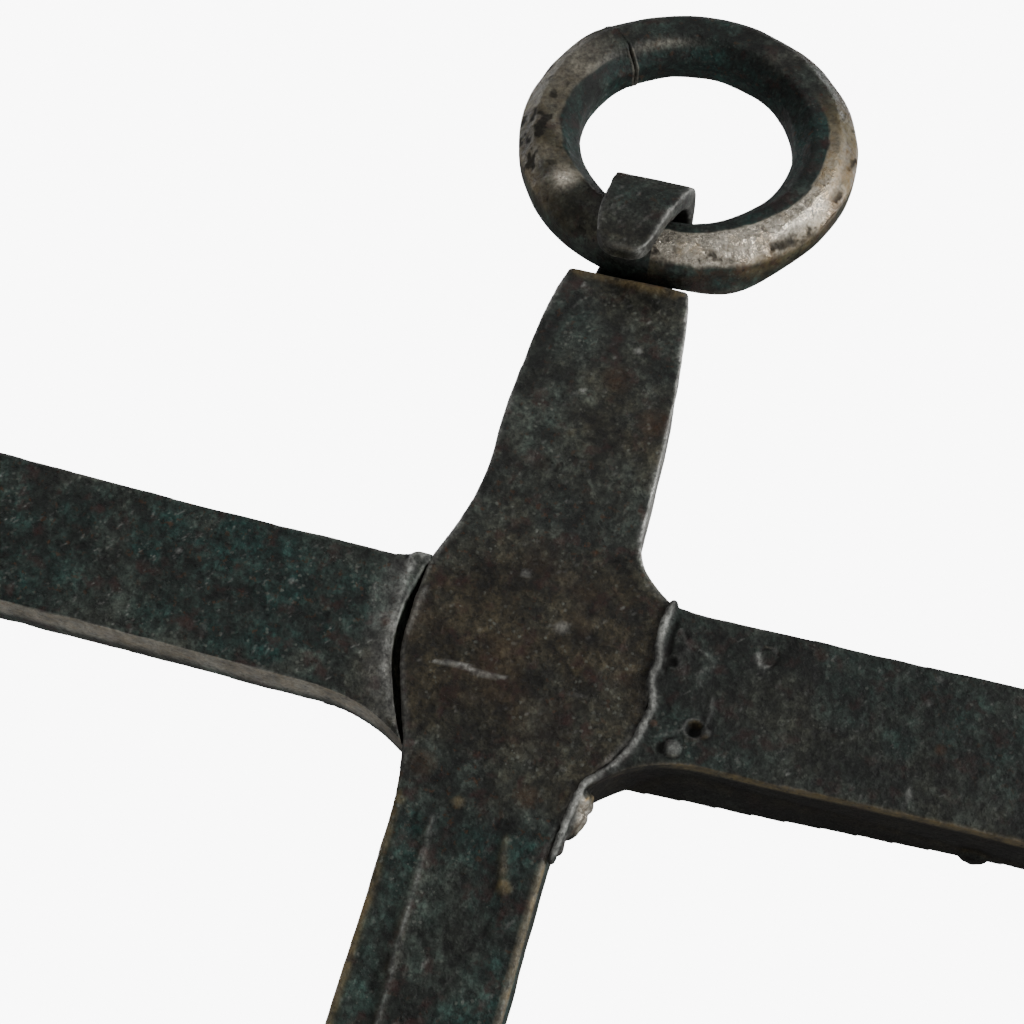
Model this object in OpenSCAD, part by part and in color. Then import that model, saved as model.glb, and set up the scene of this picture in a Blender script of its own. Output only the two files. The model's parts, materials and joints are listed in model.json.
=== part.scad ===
// A forged iron cross that hangs from a heavy ring. The upright's top is thinned to a tongue, rolled
// forward over the ring as an eye. The two arms are separate bars butted against the swollen crossing.
// The origin is the ring's inner top, +Z is up and -Y is the front. Sizes are in millimetres.

/* [Bars] */
// Width of the flat bar in the upright's foot
bar_w = 40; // [32:0.5:48]
// Width of the arms
arm_w = 40.5; // [32:0.5:48]
// Thickness of the upright and of the left arm
bar_t = 12; // [10:0.5:15]
// Thickness of the right arm, a heavier bar that stands out behind
right_arm_t = 16; // [10:0.5:20]
// How much lower the back of the right arm's underside lies than its front, at the crossing
right_arm_drop = 6; // [0:0.5:8]
// Angle at which that drop runs out along the arm
right_arm_runout = 2.2; // [1:0.1:4]

/* [Cross] */
// Length from the crossing's centre to each arm's tip
arm_len = 165; // [120:1:220]
// Length from the crossing's centre to the foot
foot_len = 300; // [200:1:400]
// Height of the shoulder, where the thick bar ends, above the crossing's centre
shoulder_h = 118.5; // [95:0.5:150]
// How far the foot sits to the right of the crossing's middle
foot_shift = 1; // [0:0.25:2]
// Width of the upright at the shoulder
shoulder_w = 35; // [30:0.5:40]
// Width of the upright at its neck, just above the crossing
neck_w = 45; // [40:0.5:50]
// Angle that each arm rises towards its tip
arm_rise = 1; // [0:0.1:2]
// How far the left arm sits low, and the right arm high, at the crossing
arm_step = 1.5; // [0:0.1:2.5]
// Reach of the swollen crossing to the left
swell_left = 30; // [27:0.5:36]
// Reach of the swollen crossing to the right
swell_right = 35; // [30:0.5:42]
// Half the height of the swollen crossing
swell_h = 30; // [26:0.5:36]

/* [Ring] */
// Inner diameter of the ring
ring_id = 62.5; // [55:0.5:80]
// Thickness of the ring's bar across its flats
ring_bar = 18; // [14:0.5:22]
// How far the ring's top leans back
ring_lean = 3.5; // [0:0.5:8]
// Angle of the butted joint in the ring, from its top towards the left
ring_slit_angle = 42; // [20:1:90]
// Width of the slit left where the ring's ends meet
ring_slit_w = 0.8; // [0.4:0.1:2]

/* [Eye] */
// Width of the rolled eye over the ring
eye_w = 20; // [14:0.5:22]
// Width of the eye's lip, where the tongue ends in front
lip_w = 14.5; // [10:0.5:18]
// Thickness of the tongue that is rolled into the eye
tongue_t = 5.5; // [3:0.25:6.5]
// Room between the ring's bar and the eye, in front and behind
eye_room = 2.75; // [2.5:0.25:4]
// How far left of the ring's lowest point the upright hangs
cross_slide = 4.5; // [0:0.5:5]
// How far left of the upright's middle the eye is rolled
eye_shift = 1; // [0:0.5:3]
// How far the eye's middle stands in front of the bars' middle
eye_forward = 2.5; // [0:0.5:5]
// How far the lip comes down in front, below the eye's middle
lip_drop = 15; // [8:0.5:15.5]

/* [Clearances] */
// Running gap between the ring and the eye where the eye rests on it
hang_gap = 0.3; // [0.2:0.05:0.6]
// Gap between the ring and the shoulder under it
shoulder_gap = 3.75; // [3:0.25:6]
// Gap in the seam between each arm and the crossing
seam_gap = 0.3; // [0.2:0.05:0.5]

/* [Hidden] */

iron = [0.17, 0.19, 0.18];
worn_iron = [0.33, 0.31, 0.28];
curve_steps = 6;
bore_steps = 96;
margin = 1;
overlap = 0.01;
flare_out = 4.5;
flare_run = 8.5;
burr_len = 9;
joggle = 6;
root_spread = 4;
root_rise = 5;

// The ring hangs from its inner top, which is the origin, and leans back about it.
ring_hole_r = ring_id / 2;
ring_r = ring_hole_r + ring_bar / 2;
ring_z = -ring_hole_r;

// The ring's bar is hammered to eight flats with softened corners, one flat facing the ring's middle.
corner_turn = 6;
corner_r = ring_bar / 2 / cos(22.5 - corner_turn);
ring_section = [
    for (side = [0 : 7], corner = [-corner_turn, corner_turn]) let (a = 22.5 + 45 * side + corner)
        [ring_r + corner_r * cos(a), corner_r * sin(a)]];

// The eye rests on the ring's bar at the end that is further from the ring's lowest point.
eye_x = -cross_slide - eye_shift;
eye_reach = abs(eye_x) + eye_w / 2;
eye_bore_r = ring_bar / 2 + eye_room;
eye_outer_r = eye_bore_r + tongue_t;
eye_drop = min([for (v = ring_section)
    sqrt(v[0] * v[0] - eye_reach * eye_reach) + sqrt(pow(eye_bore_r - hang_gap, 2) - v[1] * v[1])]) - ring_z;
eye_y = -eye_drop * sin(ring_lean);
eye_z = -eye_drop * cos(ring_lean);

// The bars hang under the eye.
bars_x = -cross_slide;
bars_y = eye_y + eye_forward;
shoulder_z = -(ring_hole_r + ring_r) * cos(ring_lean) - corner_r - shoulder_gap;
cross_z = shoulder_z - shoulder_h;
front_y = -bar_t / 2;
back_y = bar_t / 2;

// The crossing's swollen sides, from top to bottom, with +x outwards.
left_swell = [
    [swell_left - 1, 0.72 * swell_h], [swell_left, 0.27 * swell_h], [swell_left - 0.5, -0.20 * swell_h],
    [swell_left - 4.5, -0.63 * swell_h], [bar_w / 2 + 1.5, -swell_h]];
right_swell = [
    [swell_right + 0.5, 0.78 * swell_h], [swell_right - 0.5, 0.27 * swell_h], [swell_right, -0.13 * swell_h],
    [swell_right - 1, -0.50 * swell_h], [swell_right - 7, -0.83 * swell_h], [bar_w / 2 + 4, -1.03 * swell_h]];

// The upright's sides above and below the swelling, from top to bottom, with +x outwards.
left_top = [
    [shoulder_w / 2, shoulder_h], [neck_w / 2 - 2, 0.85 * shoulder_h], [neck_w / 2, 0.61 * shoulder_h],
    [neck_w / 2, 1.60 * swell_h], [neck_w / 2 + 2.5, 1.12 * swell_h], left_swell[0]];
right_top = [
    [shoulder_w / 2, shoulder_h], [neck_w / 2 - 2.2, 0.83 * shoulder_h], [neck_w / 2 - 0.5, 0.63 * shoulder_h],
    [neck_w / 2, 1.60 * swell_h], [neck_w / 2 + 1, 1.23 * swell_h], [neck_w / 2 + 5.5, 0.98 * swell_h],
    right_swell[0]];
left_foot = [
    left_swell[4], [bar_w / 2 - foot_shift / 2, -1.43 * swell_h], [bar_w / 2 - foot_shift, -2 * swell_h]];
right_foot = [
    right_swell[5], [bar_w / 2 + 1.2, -1.60 * swell_h], [bar_w / 2 + foot_shift, -2.2 * swell_h]];

// A smooth curve through the points, by Catmull and Rom's rule.
function bend(a, b, c, d, t) =
    0.5 * (2 * b + (c - a) * t + (2 * a - 5 * b + 4 * c - d) * t * t + (3 * b - a - 3 * c + d) * t * t * t);
function smooth(p) = [
    for (i = [0 : len(p) - 2], s = [0 : curve_steps - 1])
        bend(p[max(i - 1, 0)], p[i], p[i + 1], p[min(i + 2, len(p) - 1)], s / curve_steps),
    p[len(p) - 1]];
function reversed(p) = [for (i = [len(p) - 1 : -1 : 0]) p[i]];
function flipped(p) = [for (q = p) [-q[0], q[1]]];
function moved(p, dx, dz) = [for (q = p) [q[0] + dx, q[1] + dz]];
function arc(r, from, to, steps) = [
    for (i = [0 : steps]) let (a = from + (to - from) * i / steps) [r * cos(a), r * sin(a)]];

// An outline in X and Z, made a plate from y0 to y1.
module plate(outline, y0, y1) {
    translate([0, y1, 0]) rotate([90, 0, 0]) linear_extrude(height = y1 - y0) polygon(outline);
}

// A profile in Y and Z, made a bar from x0 to x1.
module bar_along_x(profile, x0, x1) {
    translate([x0, 0, 0]) rotate([90, 0, 90]) linear_extrude(height = x1 - x0) polygon(profile);
}

// The upright's front outline: tapering top, swollen crossing and plain foot.
function upright_outline() = concat(
    flipped(smooth(left_top)), flipped(smooth(left_swell)), flipped(smooth(left_foot)),
    [[foot_shift - bar_w / 2, -foot_len], [foot_shift + bar_w / 2, -foot_len]],
    reversed(smooth(right_foot)), reversed(smooth(right_swell)), reversed(smooth(right_top)));

// One arm's front outline, with +x towards its tip. Its root follows the swelling, and flares out below it.
function edge_z(x, step, side) = step + side * arm_w / 2 + x * tan(arm_rise);
function arm_root(swell) = moved(smooth(swell), seam_gap, 0);
function arm_outline(swell, step) = let (
    root = arm_root(swell),
    top = root[0],
    foot = root[len(root) - 1],
    flare_x = swell[len(swell) - 2][0] + flare_out,
    flare = function(steps, rise) let (x = flare_x + steps * flare_run)
        [x, foot[1] + rise * (edge_z(x, step, -1) - foot[1])])
    concat(root,
        smooth([foot, flare(0, 0.55), flare(1, 0.87), flare(2, 1)]),
        [[arm_len, edge_z(arm_len, step, -1)], [arm_len, edge_z(arm_len, step, 1)],
            [top[0] + burr_len, edge_z(top[0] + burr_len, step, 1)]]);

// Everything outside the swelling, out to an arm's tip.
function beyond(swell) = concat(arm_root(swell), [[arm_len, -2 * bar_w], [arm_len, 2 * bar_w]]);

// The right arm's underside slopes down towards its back edge, less so towards the tip.
right_back_y = front_y + right_arm_t;
right_wedge = [
    [front_y + margin, 0], [right_back_y, 0],
    [right_back_y, -arm_w / 2 - right_arm_drop], [front_y + margin, -arm_w / 2]];

// The tongue's profile in Y and Z about the eye's middle: up from the bar's top, stepped back behind the
// ring, over it in a half circle and straight down in front to the lip.
root_front = eye_forward;
root_back = eye_forward + back_y;
root_top = shoulder_z - eye_z;
root_low = root_top - margin;
tongue_profile = concat(
    [[root_front, root_low], [root_back, root_low], [eye_outer_r, -joggle]],
    arc(eye_outer_r, 0, 180, curve_steps * 6),
    [[-eye_outer_r, -lip_drop], [-eye_bore_r, -lip_drop], [-eye_bore_r, 0],
        [eye_bore_r, 0], [eye_bore_r, -joggle], [root_front, root_top]]);

// The tongue's width seen from the front: wide at its root, narrower over the ring, narrowest at its lip.
root_half = shoulder_w / 2 - margin;
eye_half = eye_w / 2;
tongue_behind = [
    [-root_half, root_low], [-root_half, root_top], [-eye_half - eye_shift - root_spread / 2, root_top + root_rise],
    [-eye_half - eye_shift, 0], [-eye_half - eye_shift, 2 * eye_outer_r],
    [eye_half - eye_shift, 2 * eye_outer_r], [eye_half - eye_shift, 0],
    [eye_half - eye_shift + root_spread, root_top + root_rise], [root_half, root_top], [root_half, root_low]];
tongue_before = [
    [lip_w - eye_half - eye_shift + 1, -eye_outer_r], [1 - eye_half - eye_shift, -eye_outer_r],
    [-eye_half - eye_shift, eye_outer_r], [eye_half - eye_shift, eye_outer_r]];

module tongue() {
    difference() {
        intersection() {
            bar_along_x(tongue_profile, -bar_w, bar_w);
            union() {
                plate(tongue_behind, -overlap, 2 * eye_outer_r);
                plate(tongue_before, -2 * eye_outer_r, 0);
            }
        }
        translate([-bar_w, 0, 0]) rotate([0, 90, 0])
            cylinder(r = eye_bore_r, h = 2 * bar_w, $fn = bore_steps);
    }
}

module upright() {
    color(iron) union() {
        translate([bars_x, bars_y, cross_z]) plate(upright_outline(), front_y, back_y);
        translate([bars_x, eye_y, eye_z]) tongue();
    }
}

module left_arm() {
    color(iron) translate([bars_x, bars_y, cross_z]) mirror([1, 0, 0])
        plate(arm_outline(left_swell, -arm_step), front_y, back_y);
}

module right_arm() {
    color(iron) translate([bars_x, bars_y, cross_z]) union() {
        plate(arm_outline(right_swell, arm_step), front_y, right_back_y);
        intersection() {
            translate([0, 0, arm_step]) rotate([0, -arm_rise - right_arm_runout, 0])
                bar_along_x(right_wedge, bar_w / 2, arm_len + bar_w);
            plate(beyond(right_swell), front_y, right_back_y);
        }
    }
}

module ring() {
    color(worn_iron) rotate([-ring_lean, 0, 0]) translate([0, 0, ring_z]) difference() {
        rotate([90, 0, 0]) rotate_extrude($fn = bore_steps) polygon(ring_section);
        rotate([0, -ring_slit_angle, 0])
            translate([-ring_slit_w / 2, -ring_bar, ring_hole_r - margin])
                cube([ring_slit_w, 2 * ring_bar, ring_bar + 2 * margin]);
    }
}

upright();
left_arm();
right_arm();
ring();
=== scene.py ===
"""A forged iron cross that hangs by its rolled eye from a heavy worn ring.

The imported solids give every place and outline. Each one is covered here by a fine skin that carries the
hammer marks, the seams, the weld and the wear. Sizes are in millimetres and become metres in the meshes.
On the bars, a flat place is (across, up) from the crossing's middle, seen from the front.
"""

import itertools
import json
import logging
import math
from dataclasses import dataclass
from enum import Enum

import bmesh
import bpy
import numpy as np
from mathutils import Euler, Matrix, Vector


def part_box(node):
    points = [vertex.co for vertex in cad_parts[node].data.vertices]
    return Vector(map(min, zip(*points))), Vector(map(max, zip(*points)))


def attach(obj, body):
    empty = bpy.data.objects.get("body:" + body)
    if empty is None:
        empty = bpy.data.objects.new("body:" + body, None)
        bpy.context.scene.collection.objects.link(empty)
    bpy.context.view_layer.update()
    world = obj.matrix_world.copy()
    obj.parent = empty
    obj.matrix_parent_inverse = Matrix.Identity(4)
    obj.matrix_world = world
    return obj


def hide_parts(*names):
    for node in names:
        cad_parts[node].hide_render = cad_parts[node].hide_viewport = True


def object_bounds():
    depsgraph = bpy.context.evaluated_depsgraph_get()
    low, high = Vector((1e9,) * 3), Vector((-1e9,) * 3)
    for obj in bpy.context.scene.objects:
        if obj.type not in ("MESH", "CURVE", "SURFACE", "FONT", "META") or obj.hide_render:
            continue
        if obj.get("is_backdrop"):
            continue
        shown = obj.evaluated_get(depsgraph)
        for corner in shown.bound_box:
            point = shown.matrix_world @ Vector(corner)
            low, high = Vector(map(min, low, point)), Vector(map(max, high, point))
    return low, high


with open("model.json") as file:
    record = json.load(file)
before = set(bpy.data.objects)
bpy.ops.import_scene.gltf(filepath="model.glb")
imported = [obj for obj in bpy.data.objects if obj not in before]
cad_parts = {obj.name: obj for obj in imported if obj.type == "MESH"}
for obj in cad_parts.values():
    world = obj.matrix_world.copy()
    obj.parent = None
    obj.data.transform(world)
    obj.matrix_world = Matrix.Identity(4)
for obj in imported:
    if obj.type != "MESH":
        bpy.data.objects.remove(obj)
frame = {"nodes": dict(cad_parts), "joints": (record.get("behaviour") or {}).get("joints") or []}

LOG = logging.getLogger("iron_cross")
MM = 0.001
WHITE = (1.0, 1.0, 1.0)

Array = np.ndarray
Colour = tuple[float, float, float]
Flat = tuple[float, float]
Place = tuple[float, float, float]
Socket = bpy.types.NodeSocket
Feed = Socket | float | Colour


class Slot(Enum):
    """The record's material slots."""

    FORGED = "forged_iron"
    WORN_RING = "worn_ring_iron"


class Coat(Enum):
    """What lies on the iron, point by point, from 0 to 1: the bare and ochre coats also hold painted
    highlights, and the grime coat also holds painted shade. Each is an attribute that the finishes read.
    """

    BARE_AND_HIGHLIGHT = "bare"
    RUST = "rust"
    OCHRE_AND_HIGHLIGHT = "ochre"
    GRIME_AND_SHADE = "grime_and_shade"
    TEAL = "teal"


# ---------------------------------------------------------------------------------------------------------
# Shaping
# ---------------------------------------------------------------------------------------------------------


def ease(value: Array, low: float, high: float) -> Array:
    """Goes smoothly from 0 at low to 1 at high.

    Args:
        value: The numbers to judge.
        low: Where the step begins.
        high: Where it ends. It may lie below low.

    Returns:
        Numbers from 0 to 1.
    """
    t = np.clip((value - low) / (high - low), 0.0, 1.0)
    return t * t * (3.0 - 2.0 * t)


def hill(value: Array, middle: float, reach: float) -> Array:
    """A smooth hill of height 1 at middle that is nearly flat beyond twice its reach."""
    return np.exp(-(((value - middle) / reach) ** 2))


def turned(angle: Array, middle: float) -> Array:
    """The angles as measured from a middle, from -180 to 180 degrees."""
    return (angle - middle + 180.0) % 360.0 - 180.0


def rounded_drop(share: Array) -> Array:
    """How far a round corner falls back, as a share of its radius, from 0 at its start to nearly 1."""
    return 1.0 - np.sqrt(1.0 - np.minimum(share, 0.98) ** 2)


def smooth_run(points: tuple[Flat, ...] | tuple[Place, ...], steps: int = 10) -> Array:
    """Runs a smooth curve through points by Catmull and Rom's rule.

    Args:
        points: The places that the curve passes, flat or in space.
        steps: How many parts each stretch is cut into.

    Returns:
        The places along the curve, one row each.
    """
    p = np.array([points[0], *points, points[-1]], float)
    run = []
    for before, start, end, after in zip(p[:-3], p[1:-2], p[2:-1], p[3:]):
        slope = end - before
        bend = 2 * before - 5 * start + 4 * end - after
        twist = 3 * start - before - 3 * end + after
        for t in np.arange(steps) / steps:
            run.append(0.5 * (2 * start + slope * t + bend * t**2 + twist * t**3))
    run.append(p[-1])
    return np.array(run)


class Grain:
    """Smooth repeatable noise from -1 to 1 in space."""

    CELLS = 32
    SHIFT = 11.37

    def __init__(self, seed: int) -> None:
        """Fills the lattice from a seed."""
        self.lattice = np.random.default_rng(seed).uniform(-1.0, 1.0, (self.CELLS,) * 3)

    def at(self, points: Array, size: float, octaves: int = 1) -> Array:
        """Reads the noise at points.

        Args:
            points: Places in millimetres.
            size: The size of its largest lumps.
            octaves: How many finer layers it has, each half as large and half as strong.

        Returns:
            One number for each point.
        """
        total = np.zeros(len(points))
        for octave in range(octaves):
            total += self._layer(points * 2**octave / size + self.SHIFT * (octave + 1)) / 2**octave
        return total / (2.0 - 2.0 ** (1 - octaves))

    def _layer(self, places: Array) -> Array:
        """Blends the lattice's eight nearest values at each place.

        Args:
            places: Places in cells of the lattice.

        Returns:
            One number for each place.
        """
        cell = np.floor(places).astype(int)
        part = places - cell
        part = part * part * (3.0 - 2.0 * part)
        total = np.zeros(len(places))
        for corner in itertools.product((0, 1), repeat=3):
            weight = np.prod(np.where(corner, part, 1.0 - part), axis=1)
            x, y, z = ((cell + corner) % self.CELLS).T
            total += weight * self.lattice[x, y, z]
        return total


class Skin:
    """A dense closed mesh that is shaped point by point, in millimetres, and carries its coats."""

    CREASE_STEPS = 8
    DRAW_IN = 0.5
    SWELL_OUT = -0.52

    def __init__(self, mesh: bpy.types.Mesh) -> None:
        """Reads the points and edges of a mesh.

        Args:
            mesh: The closed mesh that becomes the skin. It is shaped in place.
        """
        self.mesh = mesh
        count = len(mesh.vertices)
        flat = np.empty(count * 3)
        mesh.vertices.foreach_get("co", flat)
        self.points = flat.reshape(-1, 3) / MM
        ends = np.empty(len(mesh.edges) * 2, int)
        mesh.edges.foreach_get("vertices", ends)
        self.starts, self.ends = ends.reshape(-1, 2).T
        self.valence = np.bincount(self.starts, minlength=count) + np.bincount(self.ends, minlength=count)
        self.coats = {coat: np.zeros(count) for coat in Coat}

    def around(self, values: Array) -> Array:
        """The mean of each point's neighbours.

        Args:
            values: One number for each point.

        Returns:
            One mean for each point.
        """
        count = len(self.valence)
        total = np.bincount(self.starts, values[self.ends], count)
        total += np.bincount(self.ends, values[self.starts], count)
        return total / self.valence

    def blurred(self, steps: int) -> Array:
        """Draws a copy of the points to their neighbours' middles.

        Args:
            steps: How many times they are drawn.

        Returns:
            The places where they end.
        """
        points = self.points.copy()
        for _ in range(steps):
            points = 0.5 * points + 0.5 * np.stack([self.around(column) for column in points.T], axis=1)
        return points

    def round_arrises(self, steps: int) -> None:
        """Rounds the arrises and steps, and swells the skin back so that it doesn't shrink.

        Args:
            steps: How many times it is drawn in and swelled.
        """
        for _ in range(steps):
            for weight in (self.DRAW_IN, self.SWELL_OUT):
                middle = np.stack([self.around(column) for column in self.points.T], axis=1)
                self.points += weight * (middle - self.points)

    def normals(self) -> Array:
        """Writes the points to the mesh and reads the outward directions there.

        Returns:
            One unit direction for each point.
        """
        self.mesh.vertices.foreach_set("co", (self.points * MM).ravel())
        self.mesh.update()
        flat = np.empty(len(self.points) * 3)
        self.mesh.vertex_normals.foreach_get("vector", flat)
        return flat.reshape(-1, 3)

    def push(self, height: Array) -> None:
        """Moves each point out by its height, or in where the height is below 0."""
        self.points += self.normals() * height[:, None]

    def add(self, coat: Coat, amount: Array) -> None:
        """Adds to a coat and keeps it from 0 to 1."""
        self.coats[coat] = np.clip(self.coats[coat] + amount, 0.0, 1.0)

    def crests(self) -> Array:
        """How far each point stands above its surroundings, in millimetres, below 0 in a hollow."""
        return np.einsum("ij,ij->i", self.points - self.blurred(self.CREASE_STEPS), self.normals())

    def write(self) -> bpy.types.Mesh:
        """Writes the points and the coats to the mesh.

        Returns:
            The finished mesh.
        """
        self.normals()
        for coat, values in self.coats.items():
            attribute = self.mesh.attributes.new(coat.value, "FLOAT", "POINT")
            attribute.data.foreach_set("value", values.astype(np.float32))
        self.mesh.shade_smooth()
        return self.mesh


@dataclass(frozen=True)
class Mark:
    """Something left on a bar's front: how proud it stands, and the coats it brings."""

    height: float
    coats: tuple[tuple[Coat, float], ...] = ()

    def shape(self, flat: Array, grain: Grain) -> Array:
        """How strong the mark is at each flat place, from 0 to 1."""
        raise NotImplementedError

    def strike(self, skin: Skin, flat: Array, facing: Array, grain: Grain) -> Array:
        """Adds the mark's coats to a skin.

        Args:
            skin: The skin that is marked.
            flat: Each point's flat place.
            facing: How far each point faces the front, from 0 to 1.
            grain: The noise that makes it uneven.

        Returns:
            The height that the mark adds at each point.
        """
        strength = self.shape(flat, grain) * facing
        for coat, amount in self.coats:
            skin.add(coat, amount * strength)
        return self.height * strength


@dataclass(frozen=True)
class Spot(Mark):
    """A round pit or lump, with an optional raised or sunk rim."""

    middle: Flat = (0.0, 0.0)
    radius: float = 3.0
    rim: float = 0.0

    def shape(self, flat: Array, grain: Grain) -> Array:
        """A dome out to the radius, less its rim's share around it."""
        away = np.hypot(*(flat - self.middle).T) / self.radius
        return np.clip(1.0 - away**2, 0.0, 1.0) ** 0.7 - self.rim * hill(away, 1.1, 0.3)


@dataclass(frozen=True)
class Line(Mark):
    """A scratch, burr or ridge that follows a smooth path. It thins out at both ends."""

    path: tuple[Flat, ...] = ()
    width: float = 1.0
    unevenness: float = 0.5

    LUMP = 2.6
    TAPER = 2.0
    THIN_END = 0.25

    def shape(self, flat: Array, grain: Grain) -> Array:
        """A rounded ridge around the path, broken by noise.

        Args:
            flat: Each point's flat place.
            grain: The noise that breaks it.

        Returns:
            How strong the ridge is at each flat place.
        """
        run = smooth_run(self.path)
        reach = 3.0 * self.width
        strength = np.zeros(len(flat))
        near = np.flatnonzero(np.all((flat > run.min(0) - reach) & (flat < run.max(0) + reach), axis=1))
        if len(near) == 0:
            return strength
        lengths = np.concatenate([[0.0], np.cumsum(np.hypot(*np.diff(run, axis=0).T))])
        best = np.full(len(near), np.inf)
        along = np.zeros(len(near))
        for start, end, travelled in zip(run[:-1], run[1:], lengths[:-1]):
            step = end - start
            share = np.clip((flat[near] - start) @ step / max(step @ step, 1e-9), 0.0, 1.0)
            away = np.hypot(*(flat[near] - start - share[:, None] * step).T)
            closer = away < best
            best[closer] = away[closer]
            along[closer] = travelled + share[closer] * np.hypot(*step)
        taper = np.clip(np.minimum(along, lengths[-1] - along) / self.TAPER, self.THIN_END, 1.0)
        places = np.column_stack([flat[near], np.zeros(len(near))])
        rough = 1.0 + self.unevenness * grain.at(places, self.LUMP, 2)
        strength[near] = np.exp(-((best / (self.width * taper)) ** 2)) * np.clip(rough, 0.0, 2.0)
        return strength


SCRATCH_SPREAD = 50.0
SCRATCH_HEIGHT = -0.08


def scratches(seed: int, count: int, low: Flat, high: Flat, slant: float, length: float = 3.0,
              bright: float = 0.3) -> list[Mark]:
    """Scatters short bright scratches over a flat place.

    Args:
        seed: Fixes where they fall.
        count: How many there are.
        low: The place's lower left corner.
        high: Its upper right corner.
        slant: Their mean angle from the horizontal, in degrees.
        length: Their mean length.
        bright: How bare their iron is, on the whole.

    Returns:
        One line for each scratch.
    """
    rng = np.random.default_rng(seed)
    made: list[Mark] = []
    for _ in range(count):
        x, z = rng.uniform(low, high)
        angle = math.radians(slant + rng.uniform(-SCRATCH_SPREAD, SCRATCH_SPREAD))
        reach = length * rng.uniform(0.4, 1.5) / 2
        dx, dz = reach * math.cos(angle), reach * math.sin(angle)
        bend = rng.uniform(-0.3, 0.3)
        path = ((x - dx, z - dz), (x + bend * dz, z - bend * dx), (x + dx, z + dz))
        amount = bright * rng.uniform(0.5, 1.5)
        made.append(Line(SCRATCH_HEIGHT, ((Coat.BARE_AND_HIGHLIGHT, amount),), path, rng.uniform(0.25, 0.45), 0.9))
    return made


# ---------------------------------------------------------------------------------------------------------
# Finishes
# ---------------------------------------------------------------------------------------------------------


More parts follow.
